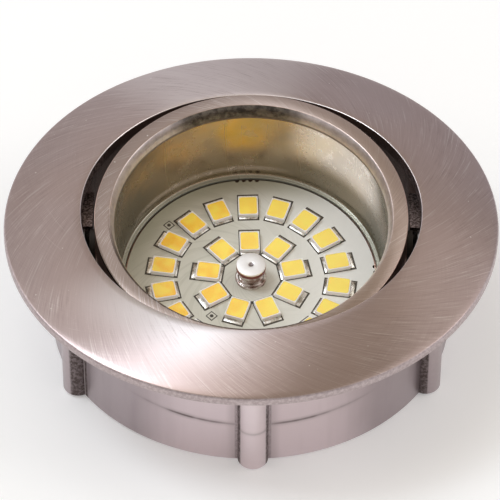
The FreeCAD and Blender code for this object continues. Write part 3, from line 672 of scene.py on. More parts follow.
# %% Cast material
def make_cast_material():
    """Smooth skirt, mottled rim, rough creases and a rough inside, with painted light and shade."""
    g = Finish("cast nickel skirt", Metallic=1.0)
    x, y, height, radius = g.measure(g.place)
    offset = rib_offset(g, x, y, radius)
    # Painted glint along the bevel of the opening's edge.
    edge_glint = g.times(g.ramp(height, FACE_INNER - 0.16, FACE_INNER - 0.08), g.ramp(radius, 24.5, 24.4))
    inside = g.math("SUBTRACT", g.ramp(radius, SKIRT_IN + 0.3, SKIRT_IN + 0.7, 1.0, 0.0), edge_glint)
    outside = g.ramp(radius, SKIRT_OUT - 0.5, SKIRT_OUT - 0.2)
    rim = g.ramp(radius, FACE_EDGE - 3.5, FACE_EDGE - 0.8)
    # Painted dark reflection line on the skirt's outside; it also dents the bump.
    line = g.times(dark_reflection_line(g, x, height), outside)
    # The crease mask carries painted shade; the thin line returned with it is a painted highlight.
    crease, painted_line = rib_creases(g, x, offset, radius)
    # Painted shade on the skirt beside the ribs.
    shade_beside_ribs = g.times(g.between(offset, 1.9, 3.2, 0.7), g.between(radius, 27.6, 29.2, 0.1))
    upward = g.node("Mapping", g.place, Scale=(420.0, 420.0, 60.0))[0]
    streaks = g.noise(upward, 1.0, 3.0, 0.6)
    # Painted shade under the rim, broken into upward streaks.
    shade_below_rim = g.times(g.ramp(height, 11.5, 16.4), outside, g.ramp(streaks, 0.30, 0.65, 0.35, 0.95))
    # Painted light on the front of the skirt, and painted shade on its sides.
    lit_front = g.facing(g.place, -88, 0.80, 0.97)
    cloud = g.noise(g.place, 80.0, 3.0)
    mottle = g.ramp(g.noise(g.place, 2300.0, 3.0, 0.7), 0.40, 0.62)
    coarse = g.noise(g.place, 3000.0, 4.0, 0.7)
    worn = g.use(EDGES, Vector=g.place)["Mask"]
    skin = g.use(SKIN, Vector=g.place, Scale=900.0)["Height"]
    # Painted shade: the dark reflection line and the creases beside the ribs.
    dark = g.most(g.times(line, 0.9), g.times(crease, g.line(mottle, -0.4, 0.95)))

    colour = g.paint(
        g.mix(g.ramp(cloud, 0.35, 0.65), (0.575, 0.475, 0.49), (0.62, 0.525, 0.545)),
        (g.ramp(streaks, 0.42, 0.66, 0.0, 0.30), (0.44, 0.36, 0.37)),
        (shade_below_rim, (0.33, 0.27, 0.28)),
        (g.line(lit_front, -0.45, 0.45), (0.18, 0.15, 0.155)),
        (g.times(lit_front, 0.5), (0.80, 0.69, 0.71)),
        (rim, g.mix(mottle, (0.43, 0.355, 0.355), (0.54, 0.46, 0.46))),
        (g.times(worn, 0.3), (0.80, 0.72, 0.71)),
        (g.times(shade_beside_ribs, 0.35), (0.26, 0.21, 0.215)),
        (dark, (0.087, 0.0645, 0.0589)),
        (painted_line, (0.80, 0.72, 0.72)),
        (inside, rough_inside(g, y, coarse)),
        (edge_glint, (0.88, 0.82, 0.82)))
    rough = g.mix(crease, g.mix(rim, g.line(cloud, 0.16, 0.26), 0.42), 0.6)
    grit = g.times(coarse, g.most(rim, crease, inside), 6.0)
    g.bump(g.math("ADD", g.times(skin, 0.3), g.math("SUBTRACT", grit, line)), 0.02, 0.7)
    return g.surface(Base_Color=colour, Roughness=g.mix(inside, rough, 0.45))


CAST_NICKEL = make_cast_material()
print("material:", CAST_NICKEL.name)

# %% [markdown]
# ## The housing
#
# Face plate and skirt are one turned form, so they are one spin. Six ribs stand on the skirt's
# outside. On the real casting they meet the wall in a crease, so it is enough to let closed columns
# run into it. What faces up is brushed, and the rest is as cast.

# %% Model the housing
def make_housing():
    """Face plate and skirt with the ribs."""
    outline = [(OPENING, FACE_INNER), *arc((OPENING, FACE_INNER), (FACE_EDGE, FACE_TOP), FACE_CURVE, 1, 10),
               (FACE_EDGE, SEAT), (SKIRT_OUT, SEAT), (SKIRT_OUT, 0), (SKIRT_IN, 0), (SKIRT_IN, SEAT),
               (OPENING, FACE_INNER - OPENING_DEPTH)]
    softened = ((OPENING, FACE_INNER, 0.2), (FACE_EDGE, FACE_TOP, 0.28, 4), (FACE_EDGE, SEAT, 0.2),
                (SKIRT_OUT, SEAT, 0.25), (SKIRT_OUT, 0, 0.4, 4), (SKIRT_IN, 0, 0.4))
    bm = lathe(outline, softened, 288)
    for rib in range(RIB_COUNT):
        turn = FRONT_RIB + rib * RIB_SPACING
        centre = (RIB_CIRCLE * math.cos(turn), RIB_CIRCLE * math.sin(turn))
        add_column(bm, centre, RIB_RADIUS, 0, SEAT + 0.3)
    for face in bm.faces:
        brushed = face.normal.z > 0.85 and face.calc_center_median().z > FACE_TOP * MM
        face.material_index = 0 if brushed else 1
    return bm


housing = finish_piece(make_housing(), "housing_casting", ["housing"], FACE_NICKEL)
housing.data.materials.append(CAST_NICKEL)

# %% [markdown]
# ## Blocks at the pivot
#
# Through the gaps beside the cup we look down on the rough parts of the casting: a shoulder behind
# each pivot, with a square front edge, the block that the pin sits in, and below it the two stops that
# end the cup's tilt. They are boxes that run into the skirt's wall. The wall curves inward behind the
# pivot, so a shoulder's rear corner comes out of it by 0.7 mm, as it does on the frame's own solid.

# %% Model the pivot blocks
def make_pivot_blocks(sign):
    """The bearing block, the shoulder behind it and the two stops below, on one side."""
    bm = bmesh.new()

    def block(face, front, rear, low, high, width=0.15):
        left, right = sorted((sign * face, sign * WALL_MIDDLE))
        add_box(bm, (left, front, low), (right, rear, high), width)

    under = PIVOT_HEIGHT - BEARING_HALF
    block(BEARING_FACE, -BEARING_HALF, BEARING_HALF, under, SEAT + 0.1)
    block(SHOULDER_FACE, *SHOULDER_ENDS, under, PIVOT_HEIGHT + SHOULDER_RISE, 0.12)
    for way in (-1, 1):
        front, rear = sorted(way * end for end in STOP_ENDS)
        block(SHOULDER_FACE, front, rear, *(PIVOT_HEIGHT - drop for drop in STOP_DROPS))
    bmesh.ops.recalc_face_normals(bm, faces=bm.faces)
    return bm


for side, sign in (("left", -1), ("right", 1)):
    finish_piece(make_pivot_blocks(sign), f"{side}_pivot_block", ["housing"], CAST_NICKEL)

# %% [markdown]
# ## The cup's finish
#
# The cup's wall is plated as cast. At its lip the casting rolls over in a narrow bead into the bowl:
# bright, with a painted dark line of shade where the bowl's sheet begins, and a painted dark
# reflection at the rear, where it mirrors the unlit side of the room. The lip's edges carry painted
# shade towards the front left. The flat of the lip itself is brushed, and has its own finish from above.

# %% Cup material
def make_cup_material():
    """Plated wall and a rolled bead."""
    g = Finish("satin nickel cup", Metallic=1.0)
    level = g.level()
    height, radius = g.measure(level)[2:]
    grain = g.use(GRAIN, Vector=level, Fineness=300.0, Length=160.0)["Grain"]
    skin = g.use(SKIN, Vector=level, Scale=1100.0)["Height"]
    specks = g.use(SPECKS, Vector=level, Scale=520.0, Amount=0.12)["Mask"]
    worn = g.use(EDGES, Vector=level)["Mask"]
    lip = g.ramp(height, LIP_TOP - 0.25, LIP_TOP - 0.1)
    bead = g.times(g.ramp(radius, LIP_IN + 0.05, LIP_IN - 0.03),
                   g.ramp(height, BOWL_TOP - 0.1, BOWL_TOP + 0.05))
    smudge = g.ramp(g.noise(level, 900.0, 3.0, 0.7), 0.35, 0.65)
    rolled = g.mix(smudge, (0.66, 0.57, 0.54), (0.80, 0.71, 0.68))
    # Painted dark reflection on the bead at the rear, of the room's unlit side.
    dark_reflection = g.mix(smudge, (0.045, 0.038, 0.028), (0.20, 0.17, 0.13))
    # Painted shade: a dark line on the bead where the bowl's sheet begins.
    painted_line = g.times(bead, g.ramp(height, BOWL_TOP + 0.45, BOWL_TOP + 0.2))
    colour = g.paint(
        g.mix(g.ramp(g.noise(level, 70.0), 0.35, 0.65), (0.581, 0.42, 0.353), (0.6, 0.444, 0.38)),
        (bead, g.mix(g.times(g.facing(level, 96, 0.84, 0.95), 0.95), rolled, dark_reflection)),
        (g.times(painted_line, 0.85), (0.13, 0.095, 0.08)),
        (g.times(worn, 0.6), (0.85, 0.678, 0.6)),
        (g.times(lip_edges(g, level), g.ramp(height, LIP_TOP - 0.4, LIP_TOP - 0.2)), (0.09, 0.065, 0.05)))
    rough = g.mix(lip, g.line(skin, 0.2, 0.28), g.line(grain, 0.10, 0.27))
    wall = g.times(skin, g.mix(lip, 1.2, 0.1))
    g.bump(g.math("ADD", g.line(specks, 0.6, grain), wall), 0.006, 0.6)
    return g.surface(Base_Color=colour, Roughness=g.mix(bead, rough, 0.3), Metallic=g.line(bead, -0.35, 1.0))


CUP_NICKEL = make_cup_material()
print("material:", CUP_NICKEL.name)

# %% [markdown]
# ## The cup
#
# The lamp cup is turned too. Its section runs over the lip, down the outer wall, round the floor and up
# inside, where the board and the bowl sit, and ends with the bead's curve back to the lip.

# %% Model the cup
def make_cup():
    """Lip, wall and floor."""
    backing = SHEET + FIT
    pocket_top = (BOWL_BOTTOM_RADIUS + backing, BOWL_RIM - SHEET)
    lip_corner = (LIP_IN, LIP_TOP + LIP_RISE)
    bead_foot = (BOWL_TOP_RADIUS, BOWL_TOP)
    outline = [lip_corner, (LIP_OUT, LIP_TOP), WALL_FOOT,
               *arc(WALL_FOOT, (FLOOR_EDGE, FLOOR_OUT), FLOOR_CURVE, 1, 14), (0, FLOOR_OUT), (0, FLOOR_IN),
               (CAVITY_FOOT, FLOOR_IN), (LEDGE, BOARD_UNDER), (POCKET, BOARD_UNDER),
               (POCKET, BOWL_RIM - SHEET), pocket_top,
               *arc(pocket_top, (BOWL_TOP_RADIUS + backing, BOWL_TOP), BOWL_CURVE + backing, -1, 14),
               bead_foot, *arc(bead_foot, lip_corner, BEAD_CURVE, 1, 8)[:-1]]
    bm = lathe(outline, ((LIP_OUT, LIP_TOP, 0.15), (*lip_corner, 0.1)))
    for face in bm.faces:
        on_lip = face.normal.z > 0.96 and face.calc_center_median().z > (LIP_TOP - 0.1) * MM
        face.material_index = 1 if on_lip else 0
    return bm


cup = finish_piece(make_cup(), "lamp_cup", ["tilt_cup"], CUP_NICKEL, to_cup)
cup.data.materials.append(LIP_NICKEL)

# %% [markdown]
# ## Holes in the cup
#
# The floor has a hole for the post and one for the grommet, and the wall has one for each pin. On the
# real cup they are drilled. Here a Boolean modifier cuts them and is then applied, so that the mesh
# really has the holes.

# %% Cut the holes
def make_cutter():
    """Round bars where the holes go."""
    bm = bmesh.new()
    floor = (FLOOR_IN + FLOOR_OUT) / 2
    for y, radius in ((0, STUD_HOLE), (GROMMET_Y, GROMMET_HOLE)):
        add_bar(bm, (0, y), radius, floor - 1.5, floor + 1.5, 48)
    for sign in (-1, 1):
        pin = add_bar(bm, (0, 0), PIN_HOLE, -2, 2, 32)
        bmesh.ops.rotate(bm, verts=pin, cent=(0, 0, 0), matrix=Matrix.Rotation(math.pi / 2, 3, "Y"))
        bmesh.ops.translate(bm, verts=pin, vec=(sign * PAD_START * MM, 0, 0))
    bmesh.ops.transform(bm, matrix=to_cup, verts=bm.verts)
    return link("cutter", to_mesh(bm, "cutter"))


def cut_holes(piece, cutter):
    """Take the cutter's bars out of the piece, and remove the cutter."""
    holes = piece.modifiers.new("holes", "BOOLEAN")
    holes.operation = "DIFFERENCE"
    holes.solver = "EXACT"
    holes.object = cutter
    graph = bpy.context.evaluated_depsgraph_get()
    whole = piece.data
    piece.data = bpy.data.meshes.new_from_object(piece.evaluated_get(graph))
    piece.modifiers.clear()
    bpy.data.meshes.remove(whole)
    bpy.data.objects.remove(cutter)
    piece.data.name = piece.name
    print(piece.name, "drilled:", len(piece.data.polygons), "faces")


cut_holes(cup, make_cutter())

# %% [markdown]
# ## Pads and pegs
#
# Round pads stand on the cup's wall at the pins and take up the washers' play. A peg below each one
# meets the housing's stops. Both are cast with the cup, so they have its finish.

# %% Pads and pegs on the cup
# A pad and a peg: radius, hole, outer end and drop below the pin.
TRUNNION_PARTS = ((2.6, PIN_HOLE, 21.5, 0.0), (0.7, 0.0, 23.0, 5.0))


def make_trunnions():
    """A round pad at each pin and a stop peg below it."""
    bm = bmesh.new()
    for sign in (-1, 1):
        for radius, hole, end, drop in TRUNNION_PARTS:
            length = end - PAD_START
            outline = [(hole, 0), (radius, 0), (radius, length), (hole, length)]
            ring = lathe(outline, ((radius, length, 0.12),), 40)
            turn = Matrix.Rotation(sign * math.pi / 2, 4, "Y")
            ring.transform(Matrix.Translation((sign * PAD_START * MM, 0, -drop * MM)) @ turn)
            spare = to_mesh(ring, "ring")
            bm.from_mesh(spare)
            bpy.data.meshes.remove(spare)
    return bm


finish_piece(make_trunnions(), "cup_trunnions", ["tilt_cup"], CUP_NICKEL, to_cup)

# %% [markdown]
# ## The polished bowl
#
# The bowl is pressed from bright sheet. It mirrors the lamps, which is why it looks golden at the rear
# left: a painted reflection of them gives that gold. A painted highlight with streaky marks lies at the
# rear right, with hair scratches over the bowl, painted shade darkens its sides and its lower right, and
# a narrow painted glint runs round it just above the board. Highlight, glint and flange are less
# metallic than the rest of the sheet, so that they take light from every side, and the highlight glows
# a little for light that bounces inside the bowl. Its flat flange at the bottom holds the board down.

# %% Bowl material
def make_bowl_material():
    """Polished sheet with haze, marks and scratches, and painted highlight, reflection and shade."""
    g = Finish("polished bowl", Emission_Strength=0.3)
    level = g.level()
    height = g.measure(level)[2]
    grain = g.use(GRAIN, Vector=level, Fineness=130.0, Length=220.0)
    haze = g.ramp(g.noise(level, 130.0, 4.0, 0.6), 0.40, 0.68)
    marks = g.ramp(g.noise(level, 600.0, 3.0, 0.7), 0.52, 0.70)
    patches = g.ramp(g.noise(level, 110.0, 3.0, 0.6), 0.30, 0.68)
    high = g.ramp(height, -4.0, 0.5)
    low = g.ramp(height, -1.5, -4.5)
    flange = g.ramp(height, BOWL_RIM + 0.10, BOWL_RIM + 0.04)
    # Painted highlight at the rear right, broken by marks; less metallic, it also glows a little.
    highlight_patch = g.times(g.facing(level, 46, 0.86, 0.99), high, g.line(marks, 0.3, 0.7))
    # Painted shade on the left and right sides of the bowl.
    side_shade = g.most(g.facing(level, 168, 0.75, 0.97), g.facing(level, 8, 0.86, 0.99))
    # Painted reflection of the yellow lamps at the rear left.
    lamp_reflection = g.times(g.facing(level, 108, 0.45, 0.85), high, patches)
    shady = g.times(low, g.facing(level, 30, 0.45, 0.90))
    glint = g.times(g.between(height, BOWL_RIM + 0.95, BOWL_RIM + 1.75, 0.35),
                    g.facing(level, 112, 0.72, 0.92), g.line(marks, 0.4, 0.5))
    colour = g.paint(
        g.mix(haze, (0.50, 0.40, 0.28), (0.60, 0.50, 0.385)),
        (g.times(side_shade, 0.85), (0.235, 0.205, 0.165)),
        (g.times(lamp_reflection, 0.85), (0.74, 0.51, 0.26)),
        (highlight_patch, (0.92, 0.87, 0.83)),
        (g.times(shady, 0.6), (0.20, 0.185, 0.145)),
        (glint, (0.95, 0.83, 0.74)),
        (flange, (0.42, 0.42, 0.35)))
    dull = g.line(marks, 0.06, g.line(haze, 0.12, 0.20))
    g.bump(g.line(grain["Grain"], 0.4, marks), 0.008)
    return g.surface(Base_Color=colour, Roughness=g.line(grain["Scratches"], 0.08, dull),
                     Metallic=g.line(g.most(highlight_patch, flange, glint), -0.8, 1.0),
                     Emission_Color=g.mix(highlight_patch, (0, 0, 0), (1.0, 0.92, 0.86)))


# %% Model the bowl
def make_bowl():
    """The pressed bowl with its narrow flange round the board."""
    rim = (BOWL_BOTTOM_RADIUS, BOWL_RIM)
    top = (BOWL_TOP_RADIUS, BOWL_TOP - FIT)
    outer_top = (BOWL_TOP_RADIUS + SHEET, BOWL_TOP - FIT)
    outer_rim = (BOWL_BOTTOM_RADIUS + SHEET, BOWL_RIM - SHEET)
    outline = [(POCKET, BOWL_RIM), rim, *arc(rim, top, BOWL_CURVE, -1, 20), outer_top,
               *arc(outer_top, outer_rim, BOWL_CURVE + SHEET, 1, 20), (POCKET, BOWL_RIM - SHEET)]
    return lathe(outline, ((*rim, 0.3, 5), (POCKET, BOWL_RIM, 0.08)))


finish_piece(make_bowl(), "polished_bowl", ["reflector_bowl"], make_bowl_material(), to_cup)

# %% [markdown]
# ## The lamp board
#
# The board is flat, so the frame's own solid is exact enough, with its break-off notches. It gets a
# pale solder mask: slightly mottled, semi-gloss, with faint tracks under it and painted shade on its
# cut edge. It has painted light towards the right, where the light falls, and painted shade where
# the bowl shades it.

# %% Board material
def make_board_material():
    """Pale solder mask over faint tracks."""
    g = Finish("pale solder mask", Coat_Weight=0.15, Coat_Roughness=0.3)
    level = g.level()
    x, _, height, radius = g.measure(level)
    mottle = g.noise(level, 260.0, 4.0, 0.6)
    tracks = g.use(GRAIN, Vector=level, Fineness=9.0, Length=90.0)["Grain"]
    shaded = g.times(g.ramp(radius, 13.5, 17.6), g.facing(level, 118, 0.2, 0.9))
    colour = g.paint(
        g.mix(mottle, (0.66, 0.64, 0.55), (0.75, 0.73, 0.64)),
        (g.ramp(tracks, 0.52, 0.56, 0.0, 0.16), (0.33, 0.33, 0.24)),
        (g.ramp(x, -6, 15, 0.0, 0.9), (0.97, 0.965, 0.93)),
        (g.times(shaded, 0.75), (0.40, 0.40, 0.29)),
        # Painted shade on the board's cut edge.
        (g.ramp(height, BOARD_TOP - 0.04, BOARD_TOP - 0.12), (0.045, 0.036, 0.022)))
    g.bump(g.line(tracks, 0.5, mottle), 0.01)
    return g.surface(Base_Color=colour, Roughness=g.line(mottle, 0.2, 0.38))


BOARD_MASK = make_board_material()
dress(BOARD_MASK, "led_board")

# %% [markdown]
# ## Lamps
#
# A surface-mount lamp is a white tray filled with yellow phosphor gel. Its metal ends are soldered
# to pads, and each pad shows a dark outline where the mask stops, which goes on round the whole lamp
# as a painted contact shadow. One lamp is modelled once, and copied round its ring. The trays' rims
# are bevelled and the gel is a touch lower than the rim.

# %% Lamp sizes, in millimetres, and the two rings
LAMP_LONG = 3.3
LAMP_WIDE = 2.8
LAMP_HIGH = 0.72
WINDOW_LONG = 2.9
WINDOW_WIDE = 2.44
WINDOW_DEEP = 0.45
GEL_DEEP = WINDOW_DEEP - 0.03
GEL_UNDER = LAMP_HIGH - WINDOW_DEEP + 0.01
CORNER = 0.34
JOINT_WIDE = 2.6
JOINT_HIGH = 0.16
JOINT_TOE = 0.07
# Each pad's side and length, then each ring's count of lamps and its radius.
PADS = ((-1, 0.34), (1, 0.6))
RINGS = {"outer": (18, 12.37), "inner": (9, 6.05)}


def verts_in(items):
    """The vertices among some mesh elements."""
    return [item for item in items if isinstance(item, bmesh.types.BMVert)]


def copy_round(bm, count, radius):
    """Copy what is modelled at the origin, long side along X, to each place of a ring."""
    original = [*bm.verts, *bm.edges, *bm.faces]
    for index in range(count):
        turn = Matrix.Rotation(math.pi / 2 + index * 2 * math.pi / count, 4, "Z")
        copied = bmesh.ops.duplicate(bm, geom=original)["geom"]
        bmesh.ops.transform(bm, matrix=turn @ Matrix.Translation((radius * MM, 0, BOARD_TOP * MM)),
                            verts=verts_in(copied))
    bmesh.ops.delete(bm, geom=verts_in(original), context="VERTS")


# %% Model a tray and its window
def upright_edges(bm):
    """The edges that run straight up."""
    return [edge for edge in bm.edges if (edge.verts[0].co.xy - edge.verts[1].co.xy).length < 1e-8]


def make_tray():
    """A white tray with a rim round its rounded well."""
    bm = bmesh.new()
    add_block(bm, (-LAMP_LONG / 2, -LAMP_WIDE / 2, 0), (LAMP_LONG / 2, LAMP_WIDE / 2, LAMP_HIGH))
    top = [face for face in bm.faces if face.normal.z > 0.9]
    bmesh.ops.inset_region(bm, faces=top, thickness=(LAMP_WIDE - WINDOW_WIDE) / 2 * MM, depth=0)
    sunk = bmesh.ops.extrude_face_region(bm, geom=top)["geom"]
    bmesh.ops.delete(bm, geom=top, context="FACES_ONLY")
    bmesh.ops.translate(bm, verts=verts_in(sunk), vec=(0, 0, -WINDOW_DEEP * MM))
    full = 0.9 * LAMP_HIGH * MM
    round_edges(bm, [edge for edge in upright_edges(bm) if edge.calc_length() < full], CORNER, 5)
    round_edges(bm, [edge for edge in upright_edges(bm) if edge.calc_length() > full], 0.1, 2)
    bmesh.ops.recalc_face_normals(bm, faces=bm.faces)
    return bm


def make_window():
    """The phosphor gel, a rounded block whose top lies just below the tray's rim."""
    bm = bmesh.new()
    add_block(bm, (-WINDOW_LONG / 2, -WINDOW_WIDE / 2, GEL_UNDER),
              (WINDOW_LONG / 2, WINDOW_WIDE / 2, GEL_UNDER + GEL_DEEP))
    round_edges(bm, upright_edges(bm), CORNER, 5)
    return bm


# %% Model the solder joints and the outline
def make_joints():
    """Two soldered ends, each a small slope of solder on its pad. The outer pad is the longer one."""
    bm = bmesh.new()
    for sign, length in PADS:
        near, far = sign * LAMP_LONG / 2, sign * (LAMP_LONG / 2 + length)
        low, high = sorted((near, far))
        made = add_block(bm, (low, -JOINT_WIDE / 2, 0), (high, JOINT_WIDE / 2, JOINT_HIGH))
        for vert in made:
            if vert.co.z > JOINT_TOE * MM and abs(vert.co.x - far * MM) < SAME_PLACE:
                vert.co.z = JOINT_TOE * MM
        round_edges(bm, edges_among(bm, made), 0.03, 2)
    return bm


def make_outlines():
    """The dark gap that the mask leaves round the pads, with a painted contact shadow round the lamp, as a
    thin plate under them.
    """
    bm = bmesh.new()
    low, high = (sign * (LAMP_LONG / 2 + 1.2 * length + 0.12) for sign, length in PADS)
    side = LAMP_WIDE / 2 + 0.13
    add_box(bm, (low, -side, 0.0), (high, side, 0.025), 0.01, 1)
    return bm


# %% [markdown]
# ## Finishes of the lamps
#
# Gel: yellow, soft, with light scattering under the surface. It is paler towards the right, where more
# light falls on it. Tray: white moulded plastic. Both glow a little for the light that bounces between
# them and the bowl. Solder: bright but crinkled. Outline: flux in the mask's gap, and painted shadow.

# %% Lamp materials
def make_phosphor_material():
    """Yellow gel that differs slightly from lamp to lamp."""
    g = Finish("phosphor gel", Roughness=0.32, Subsurface_Weight=0.25, Subsurface_Scale=0.0006,
               Coat_Weight=0.3, Coat_Roughness=0.15, Emission_Strength=0.2)
    level = g.level()
    broad = g.noise(level, 420.0, 1.0)
    grit = g.noise(level, 2600.0, 3.0, 0.6)
    colour = g.paint(
        g.mix(g.ramp(broad, 0.35, 0.65), (0.95, 0.53, 0.035), (1.0, 0.72, 0.08)),
        (g.ramp(grit, 0.3, 0.7, 0.0, 0.25), (1.0, 0.72, 0.12)),
        (g.ramp(g.measure(level)[0], -11, 9, 0.0, 0.85), (1.0, 0.80, 0.16)))
    g.bump(grit, 0.006)
    return g.surface(Base_Color=colour, Emission_Color=colour)


def make_tray_material():
    """White moulded tray, dusty in places."""
    g = Finish("white lamp tray", Subsurface_Weight=0.15, Subsurface_Scale=0.0004, Emission_Strength=0.10)
    fine = g.noise(g.place, 1800.0, 3.0, 0.6)
    dusty = g.ramp(g.noise(g.place, 300.0), 0.35, 0.75)
    colour = g.mix(dusty, (0.95, 0.935, 0.915), (0.90, 0.87, 0.83))
    g.bump(fine, 0.006, 0.4)
    return g.surface(Base_Color=colour, Emission_Color=colour, Roughness=g.line(fine, 0.2, 0.35))


def make_solder_material():
    """Bright solder with a crinkled surface."""
    g = Finish("solder", Metallic=1.0)
    crinkle = g.noise(g.place, 3200.0, 4.0, 0.7)
    tarnish = g.ramp(g.noise(g.place, 900.0), 0.45, 0.65)
    g.bump(crinkle, 0.03, 0.8)
    return g.surface(Base_Color=g.mix(tarnish, (0.80, 0.78, 0.75), (0.40, 0.36, 0.31)),
                     Roughness=g.line(crinkle, 0.35, 0.12))


def make_flux_and_shade_material():
    """Flux, dark in the gap round a pad; also a mark's outline, painted shadow round a lamp and painted
    shade in a mark's hole.
    """
    g = Finish("flux and painted shade")
    patchy = g.noise(g.place, 1400.0, 3.0)
    return g.surface(Base_Color=g.mix(patchy, (0.030, 0.024, 0.018), (0.12, 0.10, 0.075)),
                     Roughness=g.line(patchy, 0.4, 0.25))


# %% Put the lamps on the board
FLUX_AND_SHADE = make_flux_and_shade_material()
LAMP_PARTS = (
    ("trays", make_tray, "led_bodies", make_tray_material(), "lamp_body"),
    ("gels", make_window, "led_windows", make_phosphor_material(), "phosphor"),
    ("joints", make_joints, "solder_joints", make_solder_material(), "solder"),
    ("outlines", make_outlines, "solder_joints", FLUX_AND_SHADE, "solder"),
)
for ring, (count, circle) in RINGS.items():
    for part, maker, node, material, slot in LAMP_PARTS:
        bm = maker()
        copy_round(bm, count, circle)
        finish_piece(bm, f"{ring}_{part}", [f"{ring}_{node}"], material, to_board)

# %% [markdown]
# ## Marks for the placing machine
#
# Two small diamonds on the board let the machine that places the lamps find its bearings. Each one is
# a bare diamond in a dark outline, with a round hole in the middle that a disc of painted shade stands
# for. They are printed flat, so thin plates, each a little higher than the one below, are enough.

# %% Model the diamonds
MARKS = ((-5.45, -6.66), (-11.65, 9.27))


def make_marks(add_mark, *sizes):
    """The same small plate on the board at each mark, made by a bar or a column."""
    bm = bmesh.new()
    for centre in MARKS:
        add_mark(bm, centre, *sizes)
    return bm


for name, maker, radius, thick, rest, material in (
        ("mark_outlines", add_bar, 0.86, 0.02, (4,), FLUX_AND_SHADE),
        ("mark_diamonds", add_bar, 0.66, 0.035, (4,), BOARD_MASK),
        # A dark disc of painted shade stands for each mark's hole.
        ("mark_hole_shades", add_column, 0.27, 0.05, (0.01, 20), FLUX_AND_SHADE)):
    marks = make_marks(maker, radius, BOARD_TOP, BOARD_TOP + thick, *rest)
    finish_piece(marks, name, [], material, to_cup)

# %% [markdown]
# ## The centre post
#
# A turned post clamps the board. Its head is a satin disc with a centre mark, a dimple with painted
# shade in it, over a red-brown fibre ring, a bright column and a wider foot. All of it is small, so
# bevels matter more than faces.

# %% Post materials
def make_post_material():
    """Nickel with turning marks, stained below the head, and painted shade in the head's dimple."""
    g = Finish("turned nickel", Metallic=1.0)
    level = g.level()
    height, radius = g.measure(level)[2:]
    grain = g.use(GRAIN, Vector=level, Fineness=40.0, Length=4000.0)["Grain"]
    stain = g.noise(level, 700.0, 3.0, 0.6)
    head = g.ramp(height, POST_TOP - 0.3, POST_TOP - 0.2)
    below = g.mix(g.ramp(stain, 0.42, 0.62), (0.72, 0.68, 0.66), (0.30, 0.20, 0.17))
    # Painted shade in the dimple at the head's centre.
    top = g.mix(g.ramp(radius, 0.30, 0.42), (0.30, 0.26, 0.26), (0.98, 0.96, 0.965))
    g.bump(g.math("ADD", grain, stain), 0.008)
    rough = g.mix(head, 0.22, g.line(grain, 0.15, 0.38))
    return g.surface(Base_Color=g.mix(head, below, top), Roughness=rough)


def make_fibre_material():
    """Red-brown vulcanised fibre."""
    g = Finish("red-brown fibre")
    weave = g.noise(g.place, 2500.0, 4.0, 0.6)
    g.bump(weave, 0.01)
    return g.surface(Base_Color=g.mix(weave, (0.16, 0.035, 0.03), (0.34, 0.085, 0.075)),
                     Roughness=g.line(weave, 0.3, 0.3))


# %% Model the post and its ring
def make_post():
    """Head with a dimple, column, foot and stud."""
    outline = [(0, POST_TOP - 0.2), (0.18, POST_TOP - 0.17), (DIMPLE, POST_TOP), (HEAD, POST_TOP),
               (HEAD, HEAD_UNDER), (COLUMN, HEAD_UNDER), (COLUMN, FOOT_TOP + 0.12), (1.86, FOOT_TOP),
               (FOOT, FOOT_TOP), (FOOT, BOARD_TOP), (STUD, BOARD_TOP), (STUD, STUD_END), (0, STUD_END)]
    return lathe(outline, ((HEAD, POST_TOP, 0.07), (DIMPLE, POST_TOP, 0.05), (FOOT, FOOT_TOP, 0.12)), 64)


def make_collar():
    """The fibre ring under the head."""
    outline = [(COLUMN, COLLAR_UNDER), (COLLAR, COLLAR_UNDER), (COLLAR, HEAD_UNDER), (COLUMN, HEAD_UNDER)]
    return lathe(outline, ((COLLAR, COLLAR_UNDER, 0.06), (COLLAR, HEAD_UNDER, 0.06)), 64)


finish_piece(make_post(), "turned_post", ["centre_post"], make_post_material(), to_cup)
finish_piece(make_collar(), "fibre_collar", ["post_collar"], make_fibre_material(), to_cup)

# %% [markdown]
# ## The smaller parts
#
# Pins, washers, nut, spacer and what lies under the board are simple turned or moulded parts whose
# CAD shape is right. They keep it, and get finishes of their own from two short recipes: one for
# metals, one for plastics, rubber and ceramics.

# %% Recipes for small parts
def small_metal(name, light, dark, rough):
    """A plain metal with patches of tarnish and fine tool marks."""
    g = Finish(name, Metallic=1.0)
    patch = g.noise(g.place, 1500.0, 3.0, 0.6)
    g.bump(g.noise(g.place, 6000.0), 0.006)
    return g.surface(Base_Color=g.mix(g.ramp(patch, 0.35, 0.7), light, dark),
                     Roughness=g.line(patch, 0.2, rough))


def small_solid(name, light, dark, rough, **constants):
    """A plain plastic, rubber or ceramic with a fine moulded skin."""
    g = Finish(name, **constants)
    fine = g.noise(g.place, 3600.0, 3.0, 0.6)
    g.bump(fine, 0.008)
    return g.surface(Base_Color=g.mix(g.noise(g.place, 1200.0, 3.0, 0.6), light, dark),
                     Roughness=g.line(fine, 0.2, rough))


